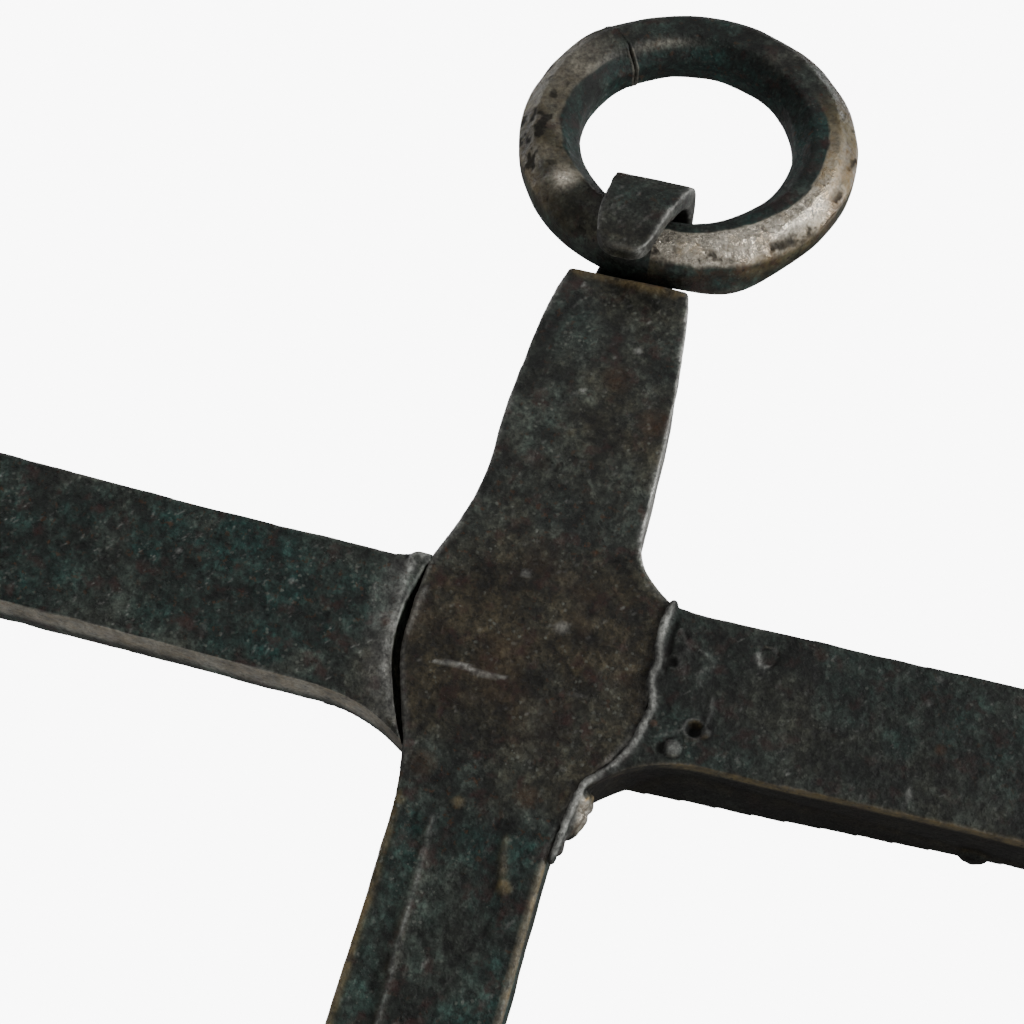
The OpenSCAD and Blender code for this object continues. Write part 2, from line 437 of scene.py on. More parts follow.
class ShaderTree:
    """Lays out a material's nodes in a few plain words."""

    APART = 417.0
    MIDDLE_TONES = (0.38, 0.62)

    def __init__(self, name: str) -> None:
        """Makes a material whose surface is one Principled shader.

        Args:
            name: The material's name.
        """
        self.material = bpy.data.materials.new(name)
        self.material.use_nodes = True
        self.nodes = self.material.node_tree.nodes
        self.links = self.material.node_tree.links
        self.shader = self.nodes["Principled BSDF"]
        places = self.nodes.new("ShaderNodeTexCoord").outputs["Object"]
        scale = self.nodes.new("ShaderNodeVectorMath")
        scale.operation = "SCALE"
        scale.inputs["Scale"].default_value = 1.0 / MM
        self.links.new(places, scale.inputs[0])
        self.places = scale.outputs[0]

    def _feed(self, socket: Socket, value: Feed) -> None:
        """Links a socket, or sets its value.

        Args:
            socket: The socket that is fed.
            value: Another node's output, a number or a colour.
        """
        if isinstance(value, Socket):
            self.links.new(value, socket)
        elif isinstance(value, tuple) and len(value) == 3 and socket.type == "RGBA":
            socket.default_value = (*value, 1.0)
        else:
            socket.default_value = value

    def noise(self, size: float, detail: float = 4.0, roughness: float = 0.55, seed: float = 0.0) -> Socket:
        """Cloudy noise in space.

        Args:
            size: The size of its largest lumps, in millimetres.
            detail: How many finer layers it has.
            roughness: How strong the finer layers are.
            seed: Fixes where the lumps lie.

        Returns:
            The noise, from 0 to 1.
        """
        node = self.nodes.new("ShaderNodeTexNoise")
        self._feed(node.inputs["Vector"], self.moved(seed))
        for socket, value in (("Scale", 1.0 / size), ("Detail", detail), ("Roughness", roughness)):
            node.inputs[socket].default_value = value
        return node.outputs["Fac"]

    def moved(self, seed: float) -> Socket:
        """Moves the places, so that two patterns don't lie over each other.

        Args:
            seed: How far they move, in steps that are much longer than the object.

        Returns:
            The moved places, in millimetres.
        """
        node = self.nodes.new("ShaderNodeVectorMath")
        self._feed(node.inputs[0], self.places)
        node.inputs[1].default_value = (seed * self.APART, -seed * self.APART, 0.5 * seed * self.APART)
        return node.outputs[0]

    def cells(self, size: float, seed: float) -> tuple[Socket, Socket]:
        """Ragged cells of the given size.

        Args:
            size: How far apart the cells' middles lie.
            seed: Fixes where they lie.

        Returns:
            The distance from the cell's middle as a share of the size, and the cell's own random colour.
        """
        node = self.nodes.new("ShaderNodeTexVoronoi")
        ragged = self.nodes.new("ShaderNodeVectorMath")
        ragged.operation = "MULTIPLY_ADD"
        noise = self.nodes.new("ShaderNodeTexNoise")
        self._feed(noise.inputs["Vector"], self.places)
        noise.inputs["Scale"].default_value = 2.5 / size
        self._feed(ragged.inputs[0], noise.outputs["Color"])
        ragged.inputs[1].default_value = (0.5 * size,) * 3
        self._feed(ragged.inputs[2], self.moved(seed))
        self._feed(node.inputs["Vector"], ragged.outputs[0])
        node.inputs["Scale"].default_value = 1.0 / size
        return node.outputs["Distance"], node.outputs["Color"]

    def dots(self, size: float, radius: float, share: float, seed: float) -> Socket:
        """Ragged dots in some of the cells, from 0 to 1.

        Args:
            size: How far apart the dots could lie.
            radius: The dots' radius as a share of the size.
            share: The share of the cells that has a dot.
            seed: Fixes where they lie.

        Returns:
            How much of a dot there is.
        """
        distance, colour = self.cells(size, seed)
        chosen = self.remap(colour, 1.0 - share, 1.0 - 0.7 * share)
        return self.maths("MULTIPLY", self.remap(distance, radius, 0.55 * radius), chosen)

    def coat(self, coat: Coat) -> Socket:
        """Reads a coat from the mesh's attribute.

        Args:
            coat: Which coat.

        Returns:
            Its amount, from 0 to 1.
        """
        node = self.nodes.new("ShaderNodeAttribute")
        node.attribute_name = coat.value
        return node.outputs["Fac"]

    def remap(self, value: Feed, low: float, high: float, to_low: float = 0.0,
              to_high: float = 1.0) -> Socket:
        """Turns the range from low to high into another, and holds it at both ends.

        Args:
            value: The number that is turned.
            low: Where the range begins. It may lie above high.
            high: Where it ends.
            to_low: What low becomes.
            to_high: What high becomes.

        Returns:
            The new number.
        """
        node = self.nodes.new("ShaderNodeMapRange")
        for index, item in enumerate((value, low, high, to_low, to_high)):
            self._feed(node.inputs[index], item)
        return node.outputs[0]

    def maths(self, operation: str, first: Feed, second: Feed = 0.0) -> Socket:
        """One sum on two numbers, held from 0 to 1.

        Args:
            operation: The sum's name.
            first: The first number.
            second: The second number.

        Returns:
            The result.
        """
        node = self.nodes.new("ShaderNodeMath")
        node.operation = operation
        node.use_clamp = True
        self._feed(node.inputs[0], first)
        self._feed(node.inputs[1], second)
        return node.outputs[0]

    def mix(self, amount: Feed, first: Feed, second: Feed, blend: str = "MIX") -> Socket:
        """Mixes two colours.

        Args:
            amount: How much of the second there is, from 0 to 1.
            first: The first colour.
            second: The second colour.
            blend: The name of the way of mixing.

        Returns:
            The mixed colour.
        """
        node = self.nodes.new("ShaderNodeMix")
        node.data_type = "RGBA"
        node.blend_type = blend
        self._feed(node.inputs["Factor"], amount)
        self._feed(node.inputs[6], first)
        self._feed(node.inputs[7], second)
        return node.outputs[2]

    def between(self, amount: Socket, first: Socket, second: float) -> Socket:
        """Goes from one number to another.

        Args:
            amount: How far it goes, from 0 to 1.
            first: Where it starts.
            second: Where it ends.

        Returns:
            The number between the two.
        """
        node = self.nodes.new("ShaderNodeMix")
        self._feed(node.inputs[0], amount)
        self._feed(node.inputs[2], first)
        self._feed(node.inputs[3], second)
        return node.outputs[0]

    def tone(self, colour: Feed, value: Socket, low: float, high: float) -> Socket:
        """Multiplies a colour by a grey that follows a noise.

        Args:
            colour: The colour.
            value: The noise.
            low: The grey in the noise's hollows.
            high: The grey on its tops.

        Returns:
            The toned colour.
        """
        grey = self.nodes.new("ShaderNodeCombineColor")
        level = self.remap(value, *self.MIDDLE_TONES, low, high)
        for channel in range(3):
            self.links.new(level, grey.inputs[channel])
        return self.mix(1.0, colour, grey.outputs[0], "MULTIPLY")

    def bump(self, layers: list[tuple[Socket, float]]) -> None:
        """Stacks relief on the shader's normal.

        Args:
            layers: Each layer's pattern and its height in millimetres.
        """
        normal = None
        for height, depth in layers:
            node = self.nodes.new("ShaderNodeBump")
            node.inputs["Distance"].default_value = depth * MM
            self._feed(node.inputs["Height"], height)
            if normal is not None:
                self._feed(node.inputs["Normal"], normal)
            normal = node.outputs[0]
        self.links.new(normal, self.shader.inputs["Normal"])

    def set(self, socket: str, value: Feed) -> None:
        """Feeds one of the shader's sockets."""
        self._feed(self.shader.inputs[socket], value)


@dataclass(frozen=True)
class IronFinish:
    """Blackened iron under a mottled patina, worn bare in places."""

    name: str = Slot.FORGED.value
    brown: Colour = (0.022, 0.018, 0.010)
    slate: Colour = (0.022, 0.026, 0.021)
    teal: Colour = (0.006, 0.019, 0.016)
    stain: Colour = (0.040, 0.014, 0.012)
    bare: Colour = (0.44, 0.44, 0.41)
    rust: Colour = (0.11, 0.038, 0.010)
    ochre: Colour = (0.15, 0.115, 0.050)
    speck: Colour = (0.15, 0.16, 0.135)
    pit: Colour = (0.004, 0.004, 0.003)
    bronze: Colour = (0.36, 0.25, 0.12)
    dirt_and_shade: Colour = (0.004, 0.0035, 0.003)
    cloud_size: float = 34.0
    blotch_size: float = 9.0
    mottle_size: float = 3.2
    fine_size: float = 1.0
    flake_size: float = 2.2
    rough_iron: float = 0.46
    rough_bare: float = 0.38
    rough_dirt: float = 0.95
    metal: float = 0.75
    relief: float = 1.0
    shine: float = 0.3

    def material(self) -> bpy.types.Material:
        """Builds the node material that reads the skin's coats.

        Returns:
            The material, from its patina up to its bare metal and its dirt.
        """
        tree = ShaderTree(self.name)
        cloud = tree.noise(self.cloud_size, 5.0, 0.6, 1.0)
        blotch = tree.noise(self.blotch_size, 5.0, 0.62, 2.0)
        mottle = tree.noise(self.mottle_size, 5.0, 0.65, 3.0)
        fine = tree.noise(self.fine_size, 5.0, 0.65, 4.0)

        # The patina goes from brown through slate to teal, and each size of noise tones it.
        to_teal = tree.maths("ADD", tree.coat(Coat.TEAL), tree.remap(cloud, 0.35, 0.65, -0.35, 0.35))
        brown_part = tree.remap(to_teal, 0.0, 0.5)
        teal_part = tree.remap(to_teal, 0.5, 1.0)
        teal_part = tree.maths("MULTIPLY", teal_part, tree.remap(blotch, 0.35, 0.6, 0.35, 1.0))
        colour = tree.mix(teal_part, tree.mix(brown_part, self.brown, self.slate), self.teal)
        colour = tree.tone(colour, blotch, 0.45, 1.75)
        colour = tree.tone(colour, mottle, 0.5, 1.6)
        colour = tree.tone(colour, fine, 0.65, 1.4)
        dome, flake = tree.cells(self.flake_size, 15.0)
        colour = tree.tone(colour, flake, 0.78, 1.25)

        # Rust lies where its coat is, and in small flecks. Ochre and a red stain lie over it.
        flecks = tree.maths("MULTIPLY", tree.remap(tree.noise(2.3, 3.0, 0.6, 5.0), 0.60, 0.68), 0.6)
        rusty = tree.maths("MULTIPLY", tree.coat(Coat.RUST), tree.remap(mottle, 0.3, 0.6, 0.35, 1.0))
        rusty = tree.maths("MAXIMUM", rusty, tree.maths("MULTIPLY", flecks, tree.remap(cloud, 0.42, 0.6)))
        colour = tree.mix(rusty, colour, tree.mix(fine, self.rust, self.brown))
        tan = tree.maths("MULTIPLY", tree.coat(Coat.OCHRE_AND_HIGHLIGHT), tree.remap(mottle, 0.32, 0.6, 0.25, 1.0))
        colour = tree.mix(tan, colour, self.ochre)
        stained = tree.remap(tree.noise(7.0, 3.0, 0.6, 7.0), 0.56, 0.68, 0.0, 0.55)
        colour = tree.mix(stained, colour, self.stain)

        # Pale specks and black pin-holes.
        specks = tree.maths("ADD", tree.dots(1.7, 0.34, 0.32, 6.0), tree.dots(0.8, 0.4, 0.22, 9.0))
        specks = tree.maths("MULTIPLY", specks, tree.remap(blotch, 0.42, 0.62, 0.05, 0.55))
        colour = tree.mix(specks, colour, self.speck)
        colour = tree.mix(tree.maths("MULTIPLY", tree.dots(1.4, 0.4, 0.35, 12.0), 0.75), colour, self.pit)

        # Bare metal shows through all of it, and dirt covers even that. Where the coats hold them, the bare
        # metal and the ochre also paint highlights, and the dirt also paints shade.
        worn = tree.maths("MULTIPLY", tree.coat(Coat.BARE_AND_HIGHLIGHT), tree.remap(mottle, 0.3, 0.62, 0.45, 1.0))
        metal_tone = tree.tone(tree.tone(self.bare, blotch, 0.65, 1.3), fine, 0.6, 1.3)
        metal_tone = tree.mix(tan, metal_tone, self.bronze)
        metal_tone = tree.mix(tree.maths("MULTIPLY", rusty, 0.7), metal_tone, self.rust)
        colour = tree.mix(worn, colour, metal_tone)
        dirt_and_shade = tree.maths("MULTIPLY", tree.coat(Coat.GRIME_AND_SHADE), 0.85)
        colour = tree.mix(dirt_and_shade, colour, self.dirt_and_shade)

        tree.set("Base Color", colour)
        tree.set("Specular IOR Level", self.shine)
        tree.set("Metallic", tree.maths("MULTIPLY", worn, self.metal))
        gloss = tree.remap(mottle, 0.3, 0.7, self.rough_iron - 0.09, self.rough_iron + 0.16)
        tree.set("Roughness", tree.between(dirt_and_shade, tree.between(worn, gloss, self.rough_bare), self.rough_dirt))
        tree.bump([(mottle, 0.50 * self.relief), (tree.maths("MULTIPLY", dome, flake), 0.45 * self.relief),
                   (fine, 0.34 * self.relief), (specks, 0.12 * self.relief)])
        return tree.material


@dataclass(frozen=True)
class RingFinish(IronFinish):
    """The ring's iron, whose bare places are brighter and smoother."""

    name: str = Slot.WORN_RING.value
    bare: Colour = (0.70, 0.64, 0.53)
    rough_bare: float = 0.18
    metal: float = 1.0


# ---------------------------------------------------------------------------------------------------------
# Geometry trees
# ---------------------------------------------------------------------------------------------------------


class GeometryTree:
    """A geometry tree with named inputs that ends in Realize Instances and Set Material."""

    SOCKETS = {float: "NodeSocketFloat", int: "NodeSocketInt", bpy.types.Material: "NodeSocketMaterial"}

    def __init__(self, name: str, inputs: dict[str, type]) -> None:
        """Makes the tree and its inputs.

        Args:
            name: The tree's name.
            inputs: Each input's name and kind, apart from Geometry and Material, which it always has.
        """
        self.tree = bpy.data.node_groups.new(name, "GeometryNodeTree")
        face = self.tree.interface
        face.new_socket(name="Geometry", in_out="INPUT", socket_type="NodeSocketGeometry")
        self.keys: dict[str, str] = {}
        for label, kind in {**inputs, "Material": bpy.types.Material}.items():
            socket = face.new_socket(name=label, in_out="INPUT", socket_type=self.SOCKETS[kind])
            self.keys[label] = socket.identifier
        face.new_socket(name="Geometry", in_out="OUTPUT", socket_type="NodeSocketGeometry")
        self.given = self.tree.nodes.new("NodeGroupInput").outputs

    def node(self, kind: str, inputs: dict[str | int, object] | None = None,
             **settings: object) -> bpy.types.Node:
        """Adds a node.

        Args:
            kind: The node's type name.
            inputs: What its inputs get, by name or number: an output to link, or a value.
            settings: The node's own properties.

        Returns:
            The new node.
        """
        node = self.tree.nodes.new(kind)
        for key, value in settings.items():
            setattr(node, key, value)
        for key, value in (inputs or {}).items():
            if isinstance(value, Socket):
                self.tree.links.new(value, node.inputs[key])
            else:
                node.inputs[key].default_value = value
        return node

    def close(self, geometry: Socket) -> None:
        """Ends the tree with a plain mesh in the given material.

        Args:
            geometry: What the tree has made.
        """
        real = self.node("GeometryNodeRealizeInstances", {0: geometry})
        made = self.node("GeometryNodeSetMaterial", {
            "Geometry": real.outputs[0], "Material": self.given["Material"]})
        self.node("NodeGroupOutput", {0: made.outputs[0]})

    def mesh(self, carrier: bpy.types.Object, values: dict[str, object]) -> bpy.types.Mesh:
        """Runs the tree on an object and removes the object again.

        Args:
            carrier: The object that the tree works on.
            values: What each named input gets.

        Returns:
            The plain mesh that comes out.
        """
        modifier = carrier.modifiers.new(self.tree.name, "NODES")
        modifier.node_group = self.tree
        for label, value in values.items():
            modifier[self.keys[label]] = value
        made = evaluated_mesh(carrier)
        bpy.data.objects.remove(carrier)
        return made


def evaluated_mesh(carrier: bpy.types.Object) -> bpy.types.Mesh:
    """Makes a plain mesh of an object and its modifiers.

    Args:
        carrier: The object, which is linked to the scene for this.

    Returns:
        The mesh.
    """
    if carrier.name not in bpy.context.scene.collection.objects:
        bpy.context.scene.collection.objects.link(carrier)
    bpy.context.view_layer.update()
    depsgraph = bpy.context.evaluated_depsgraph_get()
    return bpy.data.meshes.new_from_object(carrier.evaluated_get(depsgraph), depsgraph=depsgraph)


@dataclass
class WeldBead:
    """Weld metal laid along a path as small overlapping lumps."""

    path: tuple[Place, ...]
    lump: float = 1.0
    spacing: float = 0.8
    unevenness: float = 0.3
    wander: float = 0.3
    seed: int = 1

    PATH_STEPS = 6

    def mesh(self, origin: Array, material: bpy.types.Material) -> bpy.types.Mesh:
        """Lays the lumps.

        Args:
            origin: Where the path's places are measured from, in millimetres.
            material: The finish of the lumps.

        Returns:
            A mesh of closed lumps, in metres.
        """
        curve = bpy.data.curves.new("weld_path", "CURVE")
        curve.dimensions = "3D"
        spline = curve.splines.new("POLY")
        places = smooth_run(self.path, self.PATH_STEPS)
        spline.points.add(len(places) - 1)
        for point, place in zip(spline.points, places):
            point.co = (*((origin + place) * MM), 1.0)
        return self._tree().mesh(bpy.data.objects.new("weld_path", curve), {
            "Lump Radius": self.lump * MM, "Spacing": self.spacing * MM, "Unevenness": self.unevenness,
            "Wander": self.wander * MM, "Seed": self.seed, "Material": material})

    @staticmethod
    def _tree() -> GeometryTree:
        """Lays lumps of uneven size on the evenly spaced points of a path.

        Returns:
            The tree.
        """
        tree = GeometryTree("weld_bead", {
            "Lump Radius": float, "Spacing": float, "Unevenness": float, "Wander": float, "Seed": int})
        given = tree.given
        points = tree.node("GeometryNodeResampleCurve", {
            "Curve": given["Geometry"], "Length": given["Spacing"]}, mode="LENGTH")
        low = tree.node("ShaderNodeMath", {0: 1.0, 1: given["Unevenness"]}, operation="SUBTRACT")
        high = tree.node("ShaderNodeMath", {0: 1.0, 1: given["Unevenness"]}, operation="ADD")
        size = tree.node("FunctionNodeRandomValue", {
            2: low.outputs[0], 3: high.outputs[0], "Seed": given["Seed"]})
        throw = tree.node("FunctionNodeRandomValue", {
            0: (-1.0, -1.0, -1.0), 1: (1.0, 1.0, 1.0), "Seed": given["Seed"]}, data_type="FLOAT_VECTOR")
        offset = tree.node("ShaderNodeVectorMath", {
            0: throw.outputs[0], "Scale": given["Wander"]}, operation="SCALE")
        moved = tree.node("GeometryNodeSetPosition", {
            "Geometry": points.outputs[0], "Offset": offset.outputs[0]})
        lump = tree.node("GeometryNodeMeshIcoSphere", {"Radius": given["Lump Radius"], "Subdivisions": 3})
        lumps = tree.node("GeometryNodeInstanceOnPoints", {
            "Points": moved.outputs[0], "Instance": lump.outputs[0], "Scale": size.outputs[1]})
        tree.close(lumps.outputs[0])
        return tree


# ---------------------------------------------------------------------------------------------------------
# The cross and its ring
# ---------------------------------------------------------------------------------------------------------


@dataclass(frozen=True)
class Layout:
    """Where things lie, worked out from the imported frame, in millimetres."""

    arm_len: float = 165.0
    foot_len: float = 300.0
    hole_radius: float = 31.25

    @property
    def crossing(self) -> Array:
        """The crossing's middle on the front face.

        Returns:
            Its place, found from the left arm's tip and the foot's end.
        """
        arm_low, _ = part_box("left_arm")
        foot_low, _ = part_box("upright")
        return np.array([arm_low.x / MM + self.arm_len, arm_low.y / MM, foot_low.z / MM + self.foot_len])

    @property
    def hinge(self) -> Array:
        """The middle of the eye."""
        return np.array(frame["joints"][0]["pos_m"]) / MM

    @property
    def lean(self) -> float:
        """The angle that the ring's top leans back, in radians."""
        _, y, z = self.hinge
        return math.atan2(-y, -z)


@dataclass
class ForgedPiece:
    """One solid of the object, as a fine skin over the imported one.

    The hammer leaves a number of blows with a mean radius and depth. The sway is a long slow waviness, and
    the scale a finer one. The arrises are rounded in a number of steps and then worn bare.
    """

    layout: Layout
    finish: bpy.types.Material
    node: str = ""
    slot: Slot = Slot.FORGED
    body: str = "cross"
    cell: float = 0.5
    seed: int = 1
    blows: int = 90
    blow_radius: float = 9.0
    blow_depth: float = 0.16
    sway: float = 0.4
    sway_size: float = 24.0
    scale_depth: float = 0.2
    scale_size: float = 6.0
    arris_wear: float = 0.35
    arris_steps: int = 16

    CORNER_STOP = 2.5

    def beads(self) -> list[WeldBead]:
        """The weld metal that this piece carries."""
        return []

    def marks(self) -> list[Mark]:
        """The marks on this piece's front."""
        return []

    def form(self, skin: Skin) -> None:
        """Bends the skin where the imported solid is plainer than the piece."""

    def calm(self, skin: Skin) -> Array:
        """How freely the relief may move each point, from 0 to 1."""
        return np.ones(len(skin.points))

    def coat(self, skin: Skin, normals: Array, grain: Grain) -> None:
        """Lays the coats that follow this piece's own faces."""

    def raw_skin(self) -> Skin:
        """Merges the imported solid's mesh with its weld metal, and makes one even skin of them.

        Returns:
            The skin, before any shaping.
        """
        work = bmesh.new()
        work.from_mesh(frame["nodes"][self.node].data)
        bmesh.ops.remove_doubles(work, verts=work.verts, dist=MM * 1e-3)
        for bead in self.beads():
            work.from_mesh(bead.mesh(self.layout.crossing, self.finish))
        mesh = bpy.data.meshes.new(f"{self.node}_raw")
        work.to_mesh(mesh)
        work.free()
        carrier = bpy.data.objects.new(mesh.name, mesh)
        remesh = carrier.modifiers.new("even_cells", "REMESH")
        remesh.mode = "VOXEL"
        remesh.voxel_size = self.cell * MM
        made = evaluated_mesh(carrier)
        bpy.data.objects.remove(carrier)
        return Skin(made)

    def hammer(self, skin: Skin, normals: Array) -> Array:
        """Leaves shallow round flats where the hammer fell. A blow doesn't reach round a corner.

        Args:
            skin: The skin that is struck.
            normals: The outward directions of its points.

        Returns:
            The height at each point, at or below 0.
        """
        rng = np.random.default_rng(self.seed)
        cut = np.zeros(len(skin.points))
        for index in rng.choice(len(skin.points), self.blows, replace=False):
            radius = self.blow_radius * rng.uniform(0.6, 1.3)
            away = np.sum((skin.points - skin.points[index]) ** 2, axis=1) / radius**2
            away += self.CORNER_STOP * (1.0 - normals @ normals[index])
            cut = np.minimum(cut, self.blow_depth * rng.uniform(0.5, 1.4) * (away - 1.0))
        return cut

    def build(self) -> bpy.types.Object:
        """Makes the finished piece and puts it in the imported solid's place.

        Returns:
            The piece's object.
        """
        grain = Grain(self.seed)
        skin = self.raw_skin()
        skin.round_arrises(self.arris_steps)
        self.form(skin)
        flat = skin.points[:, [0, 2]] - self.layout.crossing[[0, 2]]
        normals = skin.normals()
        facing = ease(-normals[:, 1], 0.15, 0.75)
        height = self.hammer(skin, normals)
        height += self.sway * grain.at(skin.points, self.sway_size, 2)
        height += self.scale_depth * grain.at(skin.points, self.scale_size, 4)
        for mark in self.marks():
            height += mark.strike(skin, flat, facing, grain)
        skin.push(height * self.calm(skin))
        self.wear(skin, grain)
        self.coat(skin, skin.normals(), grain)
        return self.place(skin)

    def wear(self, skin: Skin, grain: Grain) -> None:
        """Wears the arrises bare and lets grime lie in the hollows.

        Args:
            skin: The shaped skin.
            grain: The noise that breaks the wear.
        """
        crests = skin.crests()
        patchy = 0.5 + 0.5 * grain.at(skin.points, 9.0, 3)
        skin.add(Coat.BARE_AND_HIGHLIGHT, self.arris_wear * ease(crests, 0.05, 0.30) * ease(patchy, 0.25, 0.7))
        skin.add(Coat.GRIME_AND_SHADE, 0.8 * ease(-crests, 0.03, 0.20))

    def place(self, skin: Skin) -> bpy.types.Object:
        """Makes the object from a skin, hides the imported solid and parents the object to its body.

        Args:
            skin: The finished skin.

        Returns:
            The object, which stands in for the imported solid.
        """
        mesh = skin.write()
        mesh.name = self.node
        mesh.materials.clear()
        mesh.materials.append(self.finish)
        piece = bpy.data.objects.new(f"{self.node}_skin", mesh)
        bpy.context.scene.collection.objects.link(piece)
        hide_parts(self.node)
        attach(piece, self.body)
        mesh.calc_loop_triangles()
        LOG.info("%s: %d triangles", piece.name, len(mesh.loop_triangles))
        return piece


@dataclass
class Upright(ForgedPiece):
    """The upright: a flat bar with a swollen crossing, thinned at the top and rolled over as the eye."""

    node: str = "upright"
    cell: float = 0.8
    seed: int = 11
    blows: int = 150
    blow_radius: float = 10.0
    eye_bore: float = 11.75
    eye_middle: float = -5.5
    eye_half: float = 10.0
    lip_middle: float = -7.25
    lip_half: float = 7.25
    lip_round: float = 5.5
    eye_bulge: float = 1.6
    crest_spread: float = 3.0
    crest_rise: float = 1.4
    shoulder_up: float = 118.5
    shoulder_half: float = 17.5
    corner_round: float = 1.6

    def form(self, skin: Skin) -> None:
        """Rounds the lip and the shoulder's corners, and swells the eye's left side and its crest.

        Args:
            skin: The skin that is bent.
        """
        x, y, z = skin.points.T
        _, hinge_y, hinge_z = self.layout.hinge
        before = ease(y - hinge_y, -6.0, -11.0)
        past_lip = np.abs(x - self.lip_middle) - self.lip_half + self.lip_round
        off = np.clip(past_lip / self.lip_round, 0.0, 1.0)
        low = ease(z - hinge_z, -4.0, -15.0)
        z += before * low * self.lip_round * rounded_drop(off) * (z < hinge_z)
        left = ease(x - self.eye_middle, 0.0, -self.eye_half)
        x -= self.eye_bulge * left * before * hill(z - hinge_z, -3.0, 8.0)
        high = ease(z - hinge_z, -6.0, 9.0)
        x += self.crest_spread * high * ease(x - self.eye_middle, 0.0, self.eye_half)
        from_hinge = np.hypot(y - hinge_y, z - hinge_z)
        z += self.crest_rise * high * ease(from_hinge, self.eye_bore + 1.0, self.eye_bore + 4.5)

        up = z - self.layout.crossing[2]
        across = np.abs(x - self.layout.crossing[0])
        corner = np.clip((across - self.shoulder_half + self.corner_round) / self.corner_round, 0.0, 1.0)
        near = ease(up, self.shoulder_up - 6.0, self.shoulder_up) * (y < self.layout.crossing[1] + 12.5)
        near *= ease(up, self.shoulder_up + 3.0, self.shoulder_up + 0.5)
        z -= near * self.corner_round * rounded_drop(corner)
        skin.points = np.column_stack([x, y, z])

    def marks(self) -> list[Mark]:
        """The crossing's scratch and burrs, the foot's ridges, the shoulder's rusty edge, pits and specks.

        Returns:
            The marks, in the order in which they are struck.
        """
        bare, rust, ochre, grime_and_shade, teal = Coat.BARE_AND_HIGHLIGHT, Coat.RUST, Coat.OCHRE_AND_HIGHLIGHT, Coat.GRIME_AND_SHADE, Coat.TEAL
        return [
            Line(0.12, ((bare, 0.6),), ((-20.0, -7.0), (-13.0, -6.4), (-8.0, -7.4), (-1.0, -7.0)), 0.5, 0.9),
            Line(0.05, ((bare, 0.20),), ((14.0, -6.6), (20.0, -7.2)), 0.6, 0.9),
            Line(0.35, ((bare, 0.10),), ((-27.6, 13.5), (-28.6, 6.0), (-29.2, -3.0)), 0.7, 0.5),
            Line(-0.3, ((grime_and_shade, 0.35),), ((22.5, 34.0), (19.0, 32.5), (15.0, 31.0)), 0.5, 0.5),
            Line(-0.2, ((grime_and_shade, 0.15),), ((-11.5, 30.0), (-13.5, 25.5)), 0.5, 0.5),
            Line(0.4, ((bare, 0.10),),
                 ((-9.0, -45.0), (-8.2, -60.0), (-8.0, -75.0), (-7.0, -100.0), (-8.0, -130.0)), 0.9, 0.9),
            Line(-0.35, ((teal, 0.5),),
                 ((-13.0, -47.0), (-12.0, -75.0), (-11.0, -100.0), (-12.0, -125.0)), 2.4, 0.6),
            Line(0.35, ((ochre, 0.35),), ((10.0, -46.0), (10.5, -52.0), (12.5, -60.0)), 0.9, 0.8),
            Line(-0.3, ((teal, 0.7), (grime_and_shade, 0.25)), ((7.0, -44.0), (8.5, -58.0), (11.5, -72.0)), 2.6, 0.6),
            Spot(0.5, ((ochre, 0.6),), (12.8, -59.5), 2.2),
            Spot(0.3, ((ochre, 0.6),), (-3.8, -41.6), 1.9),
            Spot(0.3, ((ochre, 0.5),), (-17.8, -44.8), 1.9),
            Line(0.15, ((ochre, 0.75), (rust, 0.3)),
                 ((-16.5, 117.4), (-6.0, 117.4), (5.0, 117.0), (16.0, 117.0)), 1.5, 0.7),
            Line(0.0, ((rust, 0.9),), ((4.0, 118.3), (11.0, 118.2)), 0.8, 0.9),
            Spot(-0.35, ((grime_and_shade, 0.12), (rust, 0.2)), (-8.5, 56.0), 3.2, 0.2),
            Spot(-0.3, ((grime_and_shade, 0.12),), (-4.6, 54.6), 2.0, 0.3),
            Spot(0.15, ((ochre, 0.25),), (-3.0, 66.5), 1.6, 0.3),
            Spot(-0.25, ((grime_and_shade, 0.3),), (6.0, 103.0), 4.5),
            Spot(0.2, ((bare, 0.5),), (8.2, 96.0), 1.3),
            Spot(0.15, ((bare, 0.6),), (-11.8, 113.2), 0.9),
            Spot(0.15, ((bare, 0.5),), (-3.4, 80.0), 0.8),
            Spot(0.1, ((bare, 0.45),), (-4.0, 22.5), 1.5),
            Spot(0.1, ((bare, 0.30),), (9.0, 10.0), 2.2),
            Spot(0.1, ((ochre, 0.55),), (15.5, -0.5), 1.3),
            Spot(0.1, ((rust, 0.9),), (12.0, 33.0), 1.0),
            Spot(0.0, ((rust, 0.5),), (18.0, 75.0), 5.0),
            Spot(0.0, ((rust, 0.4),), (5.0, 86.0), 5.0),
            Spot(0.0, ((rust, 0.4),), (-15.0, -34.0), 4.0),
            Spot(0.0, ((rust, 0.5),), (12.0, -36.0), 3.5),
            Line(0.1, ((ochre, 0.75),),
                 ((-18.6, -42.0), (-18.0, -60.0), (-17.9, -98.0), (-18.1, -298.0)), 0.9, 0.9),
            Line(0.1, ((ochre, 0.45), (bare, 0.15)),
                 ((20.0, -50.0), (19.7, -92.0), (19.9, -298.0)), 0.7, 0.9),
            *scratches(3, 40, (-13.0, 121.0), (2.0, 152.0), 75.0, 3.0, 0.30),
            *scratches(4, 170, (-19.0, 45.0), (18.0, 115.0), 40.0, 1.3, 0.20),
            *scratches(5, 70, (-18.0, -290.0), (19.0, -50.0), 80.0, 4.0, 0.2),
            *scratches(6, 80, (-27.0, -30.0), (30.0, 40.0), 20.0, 1.6, 0.22),
        ]

